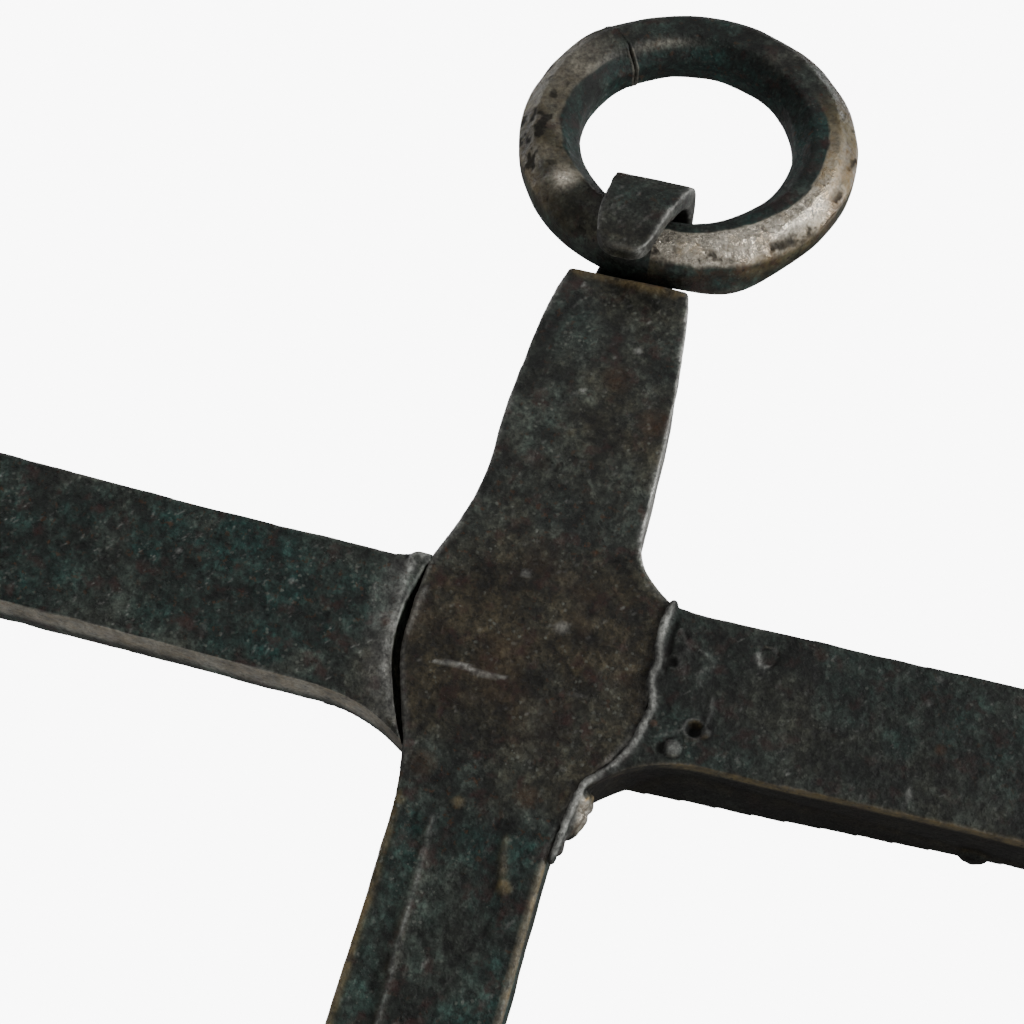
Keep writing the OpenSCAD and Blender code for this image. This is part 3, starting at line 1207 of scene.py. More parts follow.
    def calm(self, skin: Skin) -> Array:
        """Keeps the relief out of the eye's bore, where the ring runs.

        Args:
            skin: The shaped skin.

        Returns:
            How freely each point may move, from 0 to 1.
        """
        _, y, z = (skin.points - self.layout.hinge).T
        return ease(np.hypot(y, z), self.eye_bore + 0.4, self.eye_bore + 2.0)

    def coat(self, skin: Skin, normals: Array, grain: Grain) -> None:
        """Brown at the crossing, teal down the foot, with painted highlights as bare metal on the right side
        and on the eye's bright right arris.

        Args:
            skin: The skin that is coated.
            normals: The outward directions of its points.
            grain: The noise that makes it uneven.
        """
        across, depth, up = (skin.points - self.layout.crossing).T
        patchy = 0.5 + 0.5 * grain.at(skin.points, 14.0, 3)
        on_foot = ease(up, -38.0, -48.0)
        skin.add(Coat.TEAL, 0.55 - 0.50 * hill(up, 5.0, 48.0) + 0.35 * on_foot + 0.25 * (patchy - 0.5))
        skin.add(Coat.RUST, 0.22 * hill(up, 8.0, 34.0) * ease(patchy, 0.55, 0.75))
        on_eye = ease(up, 119.0, 122.0)
        # Painted highlight: the faces that turn to the right are painted as bare metal, where the light falls
        # on them.
        painted_lit_side = ease(normals[:, 0], 0.35, 0.75) * ease(up, -60.0, 20.0) * (1.0 - 0.8 * on_eye)
        skin.add(Coat.BARE_AND_HIGHLIGHT, painted_lit_side * (0.75 + 0.25 * patchy))
        edge = hill(normals[:, 0], -0.7, 0.3) * hill(normals[:, 1], -0.7, 0.35)
        skin.add(Coat.OCHRE_AND_HIGHLIGHT, 1.3 * edge * ease(up, -36.0, -46.0) * ease(patchy, 0.1, 0.5))
        right_edge = hill(normals[:, 0], 0.7, 0.35) * hill(normals[:, 1], -0.7, 0.4)
        skin.add(Coat.OCHRE_AND_HIGHLIGHT, 0.7 * right_edge * ease(up, -46.0, -54.0))
        # Painted highlight as bare metal on the right front arris above the crossing and on the eye's right
        # arris.
        skin.add(Coat.BARE_AND_HIGHLIGHT, 0.5 * right_edge * ease(up, -10.0, 20.0) * ease(patchy, 0.3, 0.6))
        skin.add(Coat.BARE_AND_HIGHLIGHT, 0.7 * right_edge**2 * on_eye * ease(patchy, 0.2, 0.5))
        rusty_corner = hill(across, -9.5, 2.0) * hill(up, 148.0, 3.0) * ease(depth, -3.0, -8.0)
        skin.add(Coat.RUST, 0.8 * on_eye * rusty_corner)
        # The eye is darker all over, and painted shade darkens it further behind the front face, in the fold.
        skin.add(Coat.GRIME_AND_SHADE, on_eye * (0.35 + 0.4 * ease(depth, -4.0, 0.0)))


@dataclass
class LeftArm(ForgedPiece):
    """The left arm, whose root has opened a crack against the crossing.

    Each pair of the crack is a height above the crossing's middle and how far the arm's end draws back.
    """

    node: str = "left_arm"
    seed: int = 23
    blows: int = 60
    crack: tuple[tuple[float, float], ...] = (
        (-30.0, 0.0), (-27.0, 0.5), (-20.0, 1.3), (-10.0, 1.6), (0.0, 1.9), (8.0, 1.6), (15.0, 0.7),
        (20.0, 0.2), (24.0, 0.0))
    crack_depth: float = 6.0
    press: float = 0.7
    seam: tuple[Flat, ...] = ((-29.0, 21.6), (-30.0, 8.1), (-29.5, -6.0), (-25.5, -18.9), (-21.5, -30.0))
    thickening: float = 2.5

    def beads(self) -> list[WeldBead]:
        """Small lumps of weld at the crack's top, and one near its foot.

        Returns:
            The beads, from the top down.
        """
        return [
            WeldBead(((-34.0, 1.3, 19.5), (-31.6, 1.0, 20.2), (-29.6, 1.6, 20.6)), 1.5, 0.7, 0.25, 0.3, 5),
            WeldBead(((-31.6, 1.3, 19.5), (-31.4, 1.6, 15.5)), 1.1, 0.6, 0.25, 0.3, 7),
            WeldBead(((-28.9, 1.6, -14.5), (-26.5, 1.8, -18.8)), 0.8, 0.5, 0.3, 0.15, 6),
        ]

    def form(self, skin: Skin) -> None:
        """Draws the arm's end back in front, presses it close behind, and thickens the bar towards its tip.

        Args:
            skin: The skin that is bent.
        """
        across, depth, up = (skin.points - self.layout.crossing).T
        seam = smooth_run(self.seam)[::-1]
        away = np.interp(up, seam[:, 1], seam[:, 0]) - across
        heights, widths = np.array(self.crack).T
        opening = np.interp(up, heights, widths) * np.exp(-np.clip(away, 0.0, None) / 5.0)
        opening = opening * ease(depth, self.crack_depth, 1.5)
        beyond = ease(depth, self.crack_depth - 2.5, self.crack_depth)
        skin.points[:, 0] += self.press * beyond * np.exp(-np.abs(away) / 2.0) - opening
        skin.points[:, 1] += self.thickening * ease(depth, 3.0, 9.0) * ease(across, -40.0, -150.0)

    def marks(self) -> list[Mark]:
        """The burred end beside the crack and the bar's stains.

        Returns:
            The marks, in the order in which they are struck.
        """
        bare, rust, grime_and_shade, teal = Coat.BARE_AND_HIGHLIGHT, Coat.RUST, Coat.GRIME_AND_SHADE, Coat.TEAL
        rim = ((-33.5, 20.0), (-34.0, 12.0), (-33.6, 3.0), (-33.2, -5.0), (-31.5, -13.0), (-28.0, -20.0),
               (-25.0, -26.0))
        return [
            Line(0.45, ((bare, 0.40),), rim, 1.4, 0.9),
            Line(0.0, ((bare, 0.14),), tuple((x - 3.0, z) for x, z in rim), 3.0, 0.8),
            Line(0.0, ((bare, 0.45),), ((-34.0, 20.5), (-29.5, 21.5)), 1.6, 0.8),
            Line(0.25, ((bare, 0.15),), ((-41.0, 10.0), (-40.0, 5.0), (-39.0, 3.0)), 0.9, 0.8),
            Spot(0.3, ((rust, 0.7),), (-35.0, 0.0), 1.4),
            Spot(-0.3, ((teal, 0.5),), (-52.0, -7.0), 6.0),
            Spot(0.0, ((teal, 0.6),), (-80.0, 13.0), 7.0),
            Spot(0.0, ((teal, 0.5),), (-62.0, -14.0), 6.0),
            Spot(0.0, ((teal, 0.4),), (-100.0, 8.0), 9.0),
            Spot(0.0, ((teal, 0.4),), (-122.0, 13.0), 8.0),
            Spot(0.1, ((bare, 0.5),), (-93.5, 6.0), 1.0),
            Spot(0.1, ((bare, 0.3),), (-62.0, 5.0), 1.0),
            Spot(-0.3, ((grime_and_shade, 0.2),), (-73.0, 12.0), 4.0),
            Line(0.2, ((bare, 0.12),), ((-80.0, -11.0), (-79.5, -17.0)), 0.8, 0.8),
            *scratches(7, 220, (-163.0, -19.0), (-36.0, 19.0), 70.0, 1.6, 0.3),
        ]

    def coat(self, skin: Skin, normals: Array, grain: Grain) -> None:
        """Slate and teal, with the underside painted paler as bare metal and ochre: a painted highlight where
        it catches light from below.

        Args:
            skin: The skin that is coated.
            normals: The outward directions of its points.
            grain: The noise that makes it uneven.
        """
        patchy = 0.5 + 0.5 * grain.at(skin.points, 16.0, 3)
        across, depth, _ = (skin.points - self.layout.crossing).T
        skin.add(Coat.TEAL, 0.62 + 0.5 * (patchy - 0.5) - 0.25 * ease(across, -46.0, -34.0))
        # Painted highlight: the faces that look down are painted paler, as bare metal with ochre.
        below = ease(-normals[:, 2], 0.6, 0.95)
        skin.add(Coat.BARE_AND_HIGHLIGHT, 0.85 * below * ease(depth, 11.0, 6.0) * (0.6 + 0.4 * patchy))
        skin.add(Coat.OCHRE_AND_HIGHLIGHT, 0.4 * below * ease(depth, 11.0, 6.0))


@dataclass
class RightArm(ForgedPiece):
    """The right arm, a heavier bar that is welded to the crossing along a proud rough seam."""

    node: str = "right_arm"
    seed: int = 37
    blows: int = 60
    seam: tuple[Flat, ...] = (
        (35.0, 24.0), (34.0, 19.0), (33.8, 12.0), (34.8, 7.5), (34.2, 2.0), (36.0, -4.5), (34.8, -12.0),
        (33.2, -17.5), (29.4, -24.0), (25.0, -29.0), (23.8, -34.0), (22.9, -40.0), (22.0, -50.0))

    def beads(self) -> list[WeldBead]:
        """The seam's bead, the drops of weld inside the corner, and a drop under the arm.

        Returns:
            The beads, the seam's first.
        """
        proud = tuple((x, 0.2, z) for x, z in self.seam)
        return [
            WeldBead(proud, 0.95, 0.35, 0.18, 0.18, 3),
            WeldBead(((24.8, 2.5, -31.5), (24.8, 2.6, -36.0), (23.6, 3.0, -40.5), (22.4, 3.0, -46.0)),
                     1.7, 0.8, 0.4, 0.5, 4),
            WeldBead(((26.2, 5.0, -30.5), (25.6, 6.0, -35.0), (23.6, 6.5, -41.0)), 1.9, 1.1, 0.35, 0.6, 8),
            WeldBead(((119.5, 14.5, -17.4), (123.5, 14.5, -17.6)), 1.9, 0.8, 0.2, 0.2, 9),
        ]

    def marks(self) -> list[Mark]:
        """Pits and bumps beside the weld, the burred lower arris and the bar's stains.

        Returns:
            The marks, in the order in which they are struck.
        """
        bare, rust, ochre, grime_and_shade, teal = Coat.BARE_AND_HIGHLIGHT, Coat.RUST, Coat.OCHRE_AND_HIGHLIGHT, Coat.GRIME_AND_SHADE, Coat.TEAL
        return [
            Line(0.10, ((bare, 0.95),), self.seam[:9], 1.1, 0.6),
            Line(0.10, ((bare, 0.95),), self.seam[8:], 1.1, 0.6),
            Line(-0.5, ((grime_and_shade, 0.5),), ((37.0, 20.0), (36.6, 12.0), (37.4, 4.0)), 0.9, 0.9),
            Spot(-1.5, ((grime_and_shade, 0.9),), (47.6, -8.4), 2.3, 0.25),
            Spot(0.9, ((bare, 0.30),), (50.6, -8.6), 1.5),
            Spot(0.9, ((bare, 0.40),), (43.6, -14.6), 2.5),
            Spot(-0.5, ((grime_and_shade, 0.4),), (40.6, -15.2), 1.7),
            Line(0.4, ((bare, 0.18),), ((50.0, 2.0), (50.4, -3.0), (50.2, -7.0)), 0.7, 0.6),
            Line(0.3, ((bare, 0.14),), ((38.0, -13.0), (42.0, -11.0), (45.0, -9.0)), 0.7, 0.8),
            Line(0.3, ((bare, 0.10),), ((44.0, 13.0), (48.0, 10.0), (45.0, 6.0), (47.0, 3.0)), 0.9, 0.9),
            Spot(-0.5, ((grime_and_shade, 0.15),), (38.4, 8.0), 1.6, 0.3),
            Spot(-0.4, ((grime_and_shade, 0.15),), (39.5, 15.5), 1.8, 0.3),
            Line(0.3, ((bare, 0.15),), ((38.0, 17.5), (41.0, 13.0), (40.0, 9.0), (42.5, 4.0)), 0.8, 0.9),
            Spot(0.4, ((rust, 1.0),), (37.6, -9.4), 1.2),
            Spot(-0.35, ((bare, -0.1),), (61.6, 15.6), 2.2, -1.2),
            Line(0.25, ((bare, 0.45),), ((59.6, 17.0), (58.8, 15.0), (60.6, 12.8), (62.8, 13.6)), 0.8, 0.9),
            Line(0.25, ((bare, 0.35),), ((60.6, 18.2), (62.6, 18.0), (63.6, 16.4)), 0.7, 0.9),
            Spot(0.0, ((rust, 0.7),), (107.5, 2.0), 1.8),
            Spot(0.0, ((rust, 0.35),), (74.0, 19.5), 2.2),
            Line(0.2, ((bare, 0.35),), ((101.8, -9.5), (101.8, -14.0)), 0.9, 0.6),
            Spot(0.1, ((bare, 0.4),), (104.0, 20.5), 0.9),
            Spot(0.1, ((bare, 0.3),), (102.5, 13.5), 1.1),
            Spot(0.0, ((teal, 0.5),), (82.0, 8.0), 9.0),
            Spot(0.0, ((teal, 0.4),), (97.0, 1.0), 5.0),
            # The tan line along the lower arris: a raised burr, painted pale as a highlight where the rounded
            # arris catches the light.
            Line(0.4, ((ochre, 0.9),),
                 ((26.0, -33.0), (30.5, -27.6), (38.0, -22.0), (46.0, -19.2), (52.0, -18.6)), 1.1, 0.5),
            Line(0.3, ((ochre, 0.9),),
                 ((50.0, -18.7), (70.0, -18.2), (95.0, -17.3), (130.0, -16.6), (162.0, -16.0)), 0.8, 0.8),
            *scratches(8, 200, (37.0, -16.0), (160.0, 20.0), 70.0, 1.6, 0.24),
        ]

    def coat(self, skin: Skin, normals: Array, grain: Grain) -> None:
        """Dark slate and darker overall, with painted shade that makes it black under the arm, a tan burr
        along the lower arris whose tan is also a painted highlight, and bright drops of weld.

        Args:
            skin: The skin that is coated.
            normals: The outward directions of its points.
            grain: The noise that makes it uneven.
        """
        patchy = 0.5 + 0.5 * grain.at(skin.points, 16.0, 3)
        across, depth, up = (skin.points - self.layout.crossing).T
        skin.add(Coat.TEAL, 0.75 + 0.4 * (patchy - 0.5))
        below = ease(-normals[:, 2], 0.35, 0.75)
        # A painted highlight in tan along the lower front arris.
        arris = hill(depth, 1.2, 1.5) * ease(-normals[:, 2], 0.2, 0.5) * ease(across, 40.0, 50.0)
        skin.add(Coat.OCHRE_AND_HIGHLIGHT, 1.5 * arris + 0.12 * below * ease(patchy, 0.5, 0.75))
        # The whole arm is made darker, and painted shade makes its underside black.
        thinned = 1.0 - 0.5 * ease(patchy, 0.5, 0.8)
        skin.add(Coat.GRIME_AND_SHADE, 0.38 + 0.9 * below * ease(depth, 2.0, 4.5) * thinned)
        skin.add(Coat.TEAL, -0.4 * below)
        drops = ease(up, -31.0, -34.0) * ease(across, 24.0, 26.0)
        skin.add(Coat.GRIME_AND_SHADE, -1.0 * drops)
        skin.add(Coat.BARE_AND_HIGHLIGHT, drops * ease(up, -42.0, -36.0) * ease(-normals[:, 1], -0.2, 0.4))
        skin.add(Coat.OCHRE_AND_HIGHLIGHT, 0.4 * drops)


@dataclass(frozen=True)
class Swelling:
    """A place where the ring's bar is thicker, by a height in millimetres.

    It has a place and a reach round the ring, and a side and a reach round the bar's section, in degrees.
    """

    height: float
    place: float
    reach: float
    side: float
    side_reach: float

    def at(self, around: Array, about: Array) -> Array:
        """Its height at each pair of angles round the ring and round the bar's section."""
        beside = hill(turned(about, self.side), 0.0, self.side_reach)
        return self.height * hill(around, self.place, self.reach) * beside


@dataclass
class Ring(ForgedPiece):
    """The ring: a heavy bar hammered to eight flats, bent round and butted, worn bare where it is handled."""

    node: str = "ring"
    slot: Slot = Slot.WORN_RING
    body: str = "ring"
    seed: int = 51
    blows: int = 110
    blow_radius: float = 7.0
    blow_depth: float = 0.30
    sway: float = 0.25
    scale_depth: float = 0.10
    bar: float = 18.0
    corner_round: float = 0.28
    butt_press: float = 1.9
    arris_steps: int = 2
    swellings: tuple[Swelling, ...] = (
        Swelling(1.7, -48.0, 15.0, 10.0, 55.0),
        Swelling(1.1, 12.0, 42.0, 20.0, 60.0),
        Swelling(0.9, 80.0, 30.0, 0.0, 50.0),
        Swelling(2.6, 152.0, 14.0, 38.0, 42.0),
    )
    slit_angle: float = 42.0
    slit: float = 0.8
    slit_ends: tuple[float, float] = (128.0, 112.0)
    eye_angle: float = 7.0
    around_steps: int = 640
    section_steps: int = 120

    FLATS = 8

    @property
    def middle_radius(self) -> float:
        """The radius of the bar's centreline."""
        return self.layout.hole_radius + self.bar / 2

    def raw_skin(self) -> Skin:
        """Sweeps the bar's section round the ring, from one side of the slit to the other.

        Returns:
            The skin, before any shaping.
        """
        tree = self._tree()
        half_gap = math.asin(self.slit / 2 / self.middle_radius)
        carrier = bpy.data.objects.new("ring_carrier", bpy.data.meshes.new("ring_carrier"))
        corner = self.bar / 2 / math.cos(math.pi / self.FLATS)
        made = tree.mesh(carrier, {
            "Middle Radius": self.middle_radius * MM,
            "Corner Radius": corner * MM,
            "Corner Round": self.corner_round * corner * MM,
            "Start Angle": math.radians(90.0 + self.slit_angle) + half_gap,
            "Sweep": 2.0 * (math.pi - half_gap),
            "Steps Around": self.around_steps,
            "Section Steps": self.section_steps,
            "Material": self.finish,
        })
        work = bmesh.new()
        work.from_mesh(made)
        bmesh.ops.remove_doubles(work, verts=work.verts, dist=MM * 1e-4)
        caps = [f for f in work.faces if len(f.verts) > 4]
        bmesh.ops.poke(work, faces=caps)
        lowered = Matrix.Translation((0, 0, -self.layout.hole_radius * MM))
        turn = Matrix.Rotation(-self.layout.lean, 4, "X") @ lowered
        bmesh.ops.transform(work, matrix=turn @ Matrix.Rotation(math.pi / 2, 4, "X"), verts=work.verts)
        bmesh.ops.recalc_face_normals(work, faces=work.faces)
        work.to_mesh(made)
        work.free()
        return Skin(made)

    @staticmethod
    def _tree() -> GeometryTree:
        """Sweeps a section of flats with softened corners along an open arc.

        Returns:
            The tree.
        """
        tree = GeometryTree("ring_sweep", {
            "Middle Radius": float, "Corner Radius": float, "Corner Round": float, "Start Angle": float,
            "Sweep": float, "Steps Around": int, "Section Steps": int})
        given = tree.given
        arc = tree.node("GeometryNodeCurveArc", {
            "Resolution": given["Steps Around"], "Radius": given["Middle Radius"],
            "Start Angle": given["Start Angle"], "Sweep Angle": given["Sweep"]})
        flats = tree.node("GeometryNodeCurvePrimitiveCircle", {
            "Resolution": Ring.FLATS, "Radius": given["Corner Radius"]})
        level = tree.node("GeometryNodeTransform", {
            "Geometry": flats.outputs[0], "Rotation": Euler((0.0, 0.0, math.pi / Ring.FLATS))})
        soft = tree.node("GeometryNodeFilletCurve", {
            "Curve": level.outputs[0], "Count": 4, "Radius": given["Corner Round"],
            "Limit Radius": True}, mode="POLY")
        even = tree.node("GeometryNodeResampleCurve", {
            "Curve": soft.outputs[0], "Count": given["Section Steps"]}, mode="COUNT")
        swept = tree.node("GeometryNodeCurveToMesh", {
            "Curve": arc.outputs[0], "Profile Curve": even.outputs[0], "Fill Caps": True})
        tree.close(swept.outputs[0])
        return tree

    def section(self, points: Array) -> tuple[Array, Array, Array]:
        """Places points on the ring.

        Args:
            points: Places in millimetres.

        Returns:
            The angle round the ring from its top towards the right, the angle round the bar's section from
            straight outwards towards the back, both in degrees, and the distance from the bar's centreline.
        """
        lean = self.layout.lean
        x, y, z = points.T
        depth = y * math.cos(lean) - z * math.sin(lean)
        height = y * math.sin(lean) + z * math.cos(lean) + self.layout.hole_radius
        out = np.hypot(x, height) - self.middle_radius
        return np.degrees(np.arctan2(x, height)), np.degrees(np.arctan2(depth, out)), np.hypot(depth, out)

    def form(self, skin: Skin) -> None:
        """Swells the ring beside its butted ends, at the top and down the right, and shuts the slit outside.

        Args:
            skin: The skin that is bent.
        """
        around, about, _ = self.section(skin.points)
        skin.push(sum(swelling.at(around, about) for swelling in self.swellings))
        beside = around + self.slit_angle
        shut = self.butt_press * hill(beside, 0.0, 1.2) * ease(np.abs(about), *self.slit_ends)
        turn = np.sign(beside) * shut / 2 / self.middle_radius
        x, _, z = skin.points.T
        z = z + self.layout.hole_radius
        skin.points[:, 0] -= turn * z
        skin.points[:, 2] += turn * x

    def calm(self, skin: Skin) -> Array:
        """Keeps the relief small inside the eye.

        Args:
            skin: The shaped skin.

        Returns:
            How freely each point may move, from 0 to 1.
        """
        around, _, _ = self.section(skin.points)
        from_eye = np.abs((around + 360.0) % 360.0 - 180.0 - self.eye_angle)
        return 0.15 + 0.85 * ease(from_eye, 14.0, 24.0)

    def coat(self, skin: Skin, normals: Array, grain: Grain) -> None:
        """Blue-black inside with painted shade on the inner facets, bare and rough in front at the lower
        right and left with painted highlights on a flat and an inner facet, rusty outside.

        Args:
            skin: The skin that is coated.
            normals: The outward directions of its points. Not used here.
            grain: The noise that makes it uneven.
        """
        around, about, _ = self.section(skin.points)
        patchy = 0.5 + 0.5 * grain.at(skin.points, 6.0, 4)
        coarse = 0.5 + 0.5 * grain.at(skin.points, 18.0, 2)
        # The worn band in front lies between the dark inside and the dark outside, with ragged edges.
        inner_edge = -130.0 + 44.0 * ease(around, 25.0, 75.0) + 20.0 * hill(around, -100.0, 42.0)
        inner_edge -= 10.0 * ease(around, 110.0, 150.0)
        outer_edge = -12.0 - 26.0 * hill(np.abs(around), 180.0, 40.0)
        ragged = 5.0 * grain.at(skin.points, 5.0, 3)
        front = ease(about - inner_edge + ragged, -2.0, 4.0) * ease(about - outer_edge + ragged, 6.0, -8.0)

        # It is bare at the lower right and a little worn at the left. A flat that was struck at the left is
        # bright, partly from wear and partly a painted highlight.
        lower_right = ease(around, 62.0, 112.0)
        left = hill(around, -105.0, 36.0)
        rest = 0.08 * ease(coarse, 0.4, 0.7) + 0.25 * hill(around, -70.0, 18.0)
        worn = np.maximum(np.maximum(lower_right * (0.6 + 0.6 * ease(patchy, 0.2, 0.6)),
                                     0.28 * left * ease(patchy, 0.3, 0.7)), rest)
        skin.add(Coat.BARE_AND_HIGHLIGHT, front * worn)
        # The bare patch on the struck flat at the left is wear and a painted highlight.
        flat_patch = hill(around, -133.0, 5.0) * hill(about, -84.0, 20.0)
        skin.add(Coat.BARE_AND_HIGHLIGHT, 0.9 * flat_patch)
        skin.add(Coat.BARE_AND_HIGHLIGHT, -0.9 * front * hill(around, -150.0, 8.0))
        # A painted sheen as bare metal on the inner facet near the slit.
        skin.add(Coat.BARE_AND_HIGHLIGHT, 0.35 * hill(around, -26.0, 15.0) * hill(about, -126.0, 9.0))

        # Ochre and rust edge the band and lie outside it, and grime dulls its left side and its top.
        outer = hill(about, -18.0, 26.0)
        sides = np.maximum(ease(around, 30.0, 100.0), left)
        skin.add(Coat.OCHRE_AND_HIGHLIGHT, 0.6 * outer * ease(coarse, 0.2, 0.6) * sides)
        skin.add(Coat.OCHRE_AND_HIGHLIGHT, 0.45 * left * front * (1.0 - flat_patch))
        skin.add(Coat.GRIME_AND_SHADE, 0.25 * left * (1.0 - flat_patch))
        skin.add(Coat.OCHRE_AND_HIGHLIGHT, 0.55 * lower_right * front * ease(patchy, 0.5, 0.75))
        right = ease(around, 52.0, 74.0) * ease(around, 118.0, 96.0)
        skin.add(Coat.OCHRE_AND_HIGHLIGHT, 0.7 * right * front)
        skin.add(Coat.RUST, 0.5 * right * ease(patchy, 0.4, 0.65) * ease(about, -75.0, -40.0) * front)
        skin.add(Coat.BARE_AND_HIGHLIGHT, -0.3 * right * ease(about, -75.0, -40.0))
        skin.add(Coat.GRIME_AND_SHADE, 0.35 * hill(around, 12.0, 42.0) * front)
        skin.add(Coat.RUST, 0.7 * outer * ease(patchy, 0.35, 0.6) * ease(around, 0.0, 40.0))
        skin.add(Coat.RUST, 0.5 * left * front * ease(coarse, 0.55, 0.75))

        # The butted ends keep no wear, and pits hold grime on the left and near the band's outer edge.
        joined = hill(around + self.slit_angle, 0.0, 1.6) * ease(np.abs(about), *self.slit_ends)
        for coat in (Coat.GRIME_AND_SHADE, Coat.BARE_AND_HIGHLIGHT):
            skin.add(coat, -joined)
        skin.add(Coat.TEAL, 0.55 + 0.4 * (1.0 - front))
        pits = ease(grain.at(skin.points + 40.0, 3.2, 3), 0.16, 0.34) * front
        near_rim = np.maximum(left, hill(about, outer_edge - 16.0, 14.0))
        skin.add(Coat.GRIME_AND_SHADE, 0.95 * pits * near_rim * (1.0 - flat_patch))
        # Painted shade on the inner facets, outside the worn band.
        skin.add(Coat.GRIME_AND_SHADE, 0.35 * (1.0 - front) * ease(-about, 90.0, 120.0))


# ---------------------------------------------------------------------------------------------------------
# Stage
# ---------------------------------------------------------------------------------------------------------


@dataclass(frozen=True)
class View:
    """The camera's stand: low in front of the cross, looking up and rolled to the right.

    Its lengths are in millimetres and its angles in degrees. The aim is measured from the crossing's middle.
    """

    azimuth: float = 8.87
    elevation: float = -26.44
    roll: float = 17.13
    distance: float = 523.8
    aim: Place = (-12.18, 0.0, 38.98)
    lens: float = 70.0
    sensor: float = 36.0

    def axes(self) -> tuple[Vector, Vector, Vector]:
        """Finds the view's own directions.

        Returns:
            The view's right, its up, and the way back to the camera.
        """
        turn, tilt, roll = (math.radians(angle) for angle in (self.azimuth, self.elevation, self.roll))
        back = Vector((math.sin(turn) * math.cos(tilt), -math.cos(turn) * math.cos(tilt), math.sin(tilt)))
        right = (-back).cross(Vector((0, 0, 1))).normalized()
        up = right.cross(-back)
        rolled_right = math.cos(roll) * right + math.sin(roll) * up
        rolled_up = math.cos(roll) * up - math.sin(roll) * right
        return rolled_right, rolled_up, back

    def place(self, layout: Layout) -> Vector:
        """Adds the camera.

        Args:
            layout: Where the crossing lies.

        Returns:
            The point that the camera looks at, in metres.
        """
        right, up, back = self.axes()
        target = Vector(layout.crossing + np.array(self.aim)) * MM
        camera = bpy.data.objects.new("camera", bpy.data.cameras.new("camera"))
        camera.data.lens = self.lens
        camera.data.sensor_width = self.sensor
        camera.data.clip_start = 0.01
        camera.matrix_world = Matrix((right, up, back)).transposed().to_4x4()
        camera.matrix_world.translation = target + back * self.distance * MM
        bpy.context.scene.collection.objects.link(camera)
        bpy.context.scene.camera = camera
        return target


@dataclass(frozen=True)
class Softbox:
    """A soft square lamp, placed along the view's right, up and back, in metres from its target."""

    name: str
    stand: Place
    size: float
    power: float
    colour: Colour = WHITE

    def place(self, target: Vector, axes: tuple[Vector, Vector, Vector]) -> None:
        """Adds the lamp, turned to its target.

        Args:
            target: The point that it shines at.
            axes: The view's right, up and back.
        """
        offset = sum((axis * amount for axis, amount in zip(axes, self.stand)), Vector())
        lamp = bpy.data.lights.new(self.name, "AREA")
        lamp.size = self.size
        lamp.energy = self.power
        lamp.color = self.colour
        stand = bpy.data.objects.new(self.name, lamp)
        stand.location = target + offset
        stand.rotation_euler = offset.to_track_quat("Z", "Y").to_euler()
        bpy.context.scene.collection.objects.link(stand)


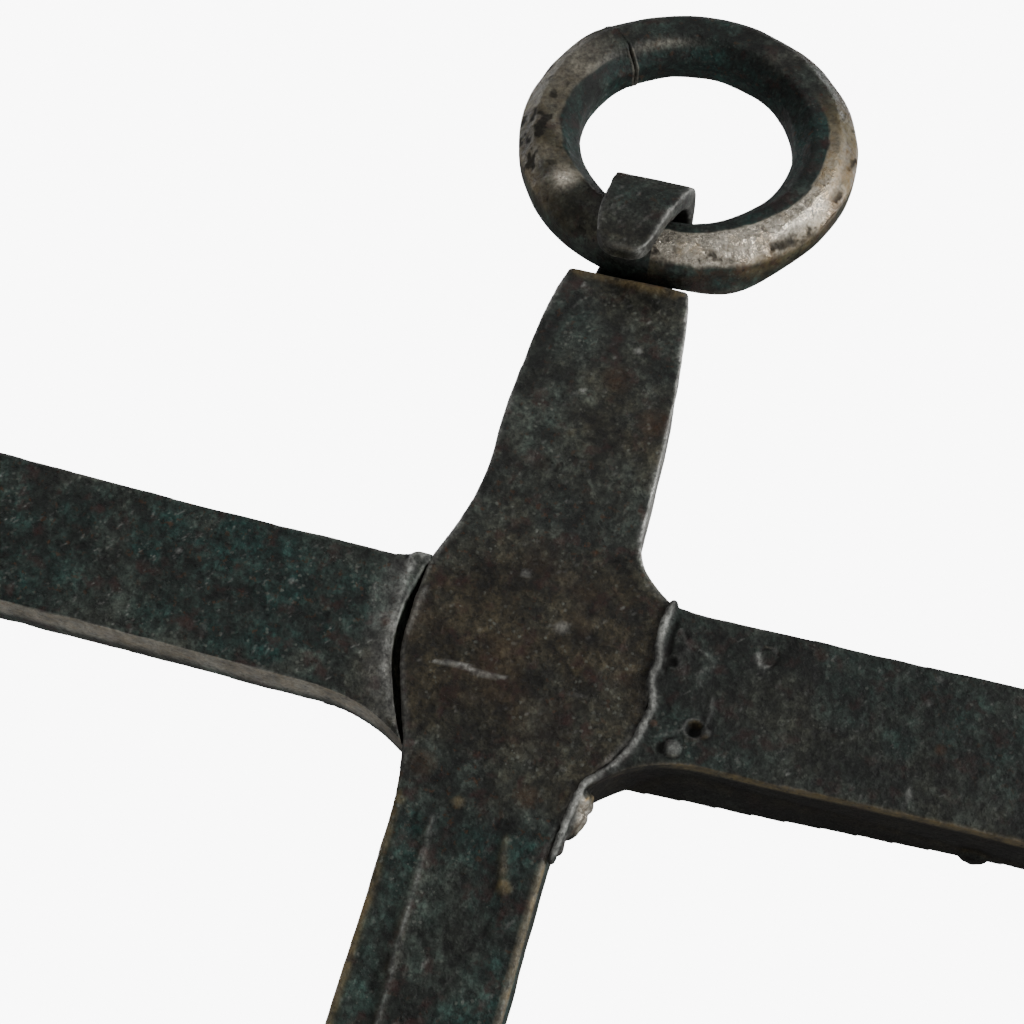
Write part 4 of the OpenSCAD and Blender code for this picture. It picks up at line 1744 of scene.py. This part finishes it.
@dataclass(frozen=True)
class Studio:
    """A pale room: a floor well under the foot and even pale light all round. Its sizes are in metres."""

    drop: float = 0.9
    floor_size: float = 40.0
    room_light: float = 0.12
    backdrop: float = 9.0
    lamps: tuple[Softbox, ...] = (
        Softbox("key", (2.3, 0.5, 0.9), 0.7, 60.0),
        Softbox("fill", (-1.4, -1.5, 1.0), 1.2, 6.5),
        Softbox("top", (-0.4, 1.9, 0.5), 0.9, 10.0),
        Softbox("back left", (-1.6, 1.4, -1.6), 1.2, 30.0),
        Softbox("back right", (1.7, 1.0, -1.8), 1.2, 22.0),
    )
    floor_glow: float = 0.9
    floor_colour: Colour = (0.8, 0.8, 0.8)
    floor_rough: float = 0.9

    def build(self, target: Vector, axes: tuple[Vector, Vector, Vector]) -> None:
        """Adds the floor, the pale surroundings and the lamps.

        Args:
            target: The point that the lamps shine at.
            axes: The view's right, up and back.
        """
        self._floor()
        self._surroundings()
        for lamp in self.lamps:
            lamp.place(target, axes)

    def _floor(self) -> None:
        """A pale matt floor that also looks pale where little light falls."""
        low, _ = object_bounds()
        half = self.floor_size / 2
        mesh = bpy.data.meshes.new("floor")
        height = low[2] - self.drop
        corners = [(-half, -half, height), (half, -half, height), (half, half, height), (-half, half, height)]
        mesh.from_pydata(corners, [], [(0, 1, 2, 3)])
        floor = bpy.data.objects.new("floor", mesh)
        paint = bpy.data.materials.new("pale_floor")
        paint.use_nodes = True
        surface = paint.node_tree.nodes["Principled BSDF"].inputs
        surface["Base Color"].default_value = (*self.floor_colour, 1.0)
        surface["Roughness"].default_value = self.floor_rough
        surface["Emission Color"].default_value = (*WHITE, 1.0)
        path = paint.node_tree.nodes.new("ShaderNodeLightPath")
        glow = paint.node_tree.nodes.new("ShaderNodeMath")
        glow.operation = "MULTIPLY"
        glow.inputs[1].default_value = self.floor_glow
        paint.node_tree.links.new(path.outputs["Is Camera Ray"], glow.inputs[0])
        paint.node_tree.links.new(glow.outputs[0], surface["Emission Strength"])
        mesh.materials.append(paint)
        bpy.context.scene.collection.objects.link(floor)
        floor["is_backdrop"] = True

    def _surroundings(self) -> None:
        """A world that is seen pale but lights the iron gently."""
        world = bpy.data.worlds.new("pale_room")
        world.use_nodes = True
        nodes, links = world.node_tree.nodes, world.node_tree.links
        path = nodes.new("ShaderNodeLightPath")
        level = nodes.new("ShaderNodeMapRange")
        level.inputs["To Min"].default_value = self.room_light
        level.inputs["To Max"].default_value = self.backdrop
        links.new(path.outputs["Is Camera Ray"], level.inputs["Value"])
        links.new(level.outputs[0], nodes["Background"].inputs["Strength"])
        nodes["Background"].inputs["Color"].default_value = (*WHITE, 1.0)
        bpy.context.scene.world = world


def main() -> None:
    """Places the camera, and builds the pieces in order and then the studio."""
    logging.basicConfig(level=logging.INFO, format="%(name)s: %(message)s")
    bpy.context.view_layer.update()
    layout = Layout()
    iron = IronFinish().material()
    ring_iron = RingFinish().material()
    view = View()
    target = view.place(layout)
    pieces = (Ring(layout, ring_iron), Upright(layout, iron), LeftArm(layout, iron), RightArm(layout, iron))
    for piece in pieces:
        piece.build()
    Studio().build(target, view.axes())


if __name__ == "__main__":
    main()
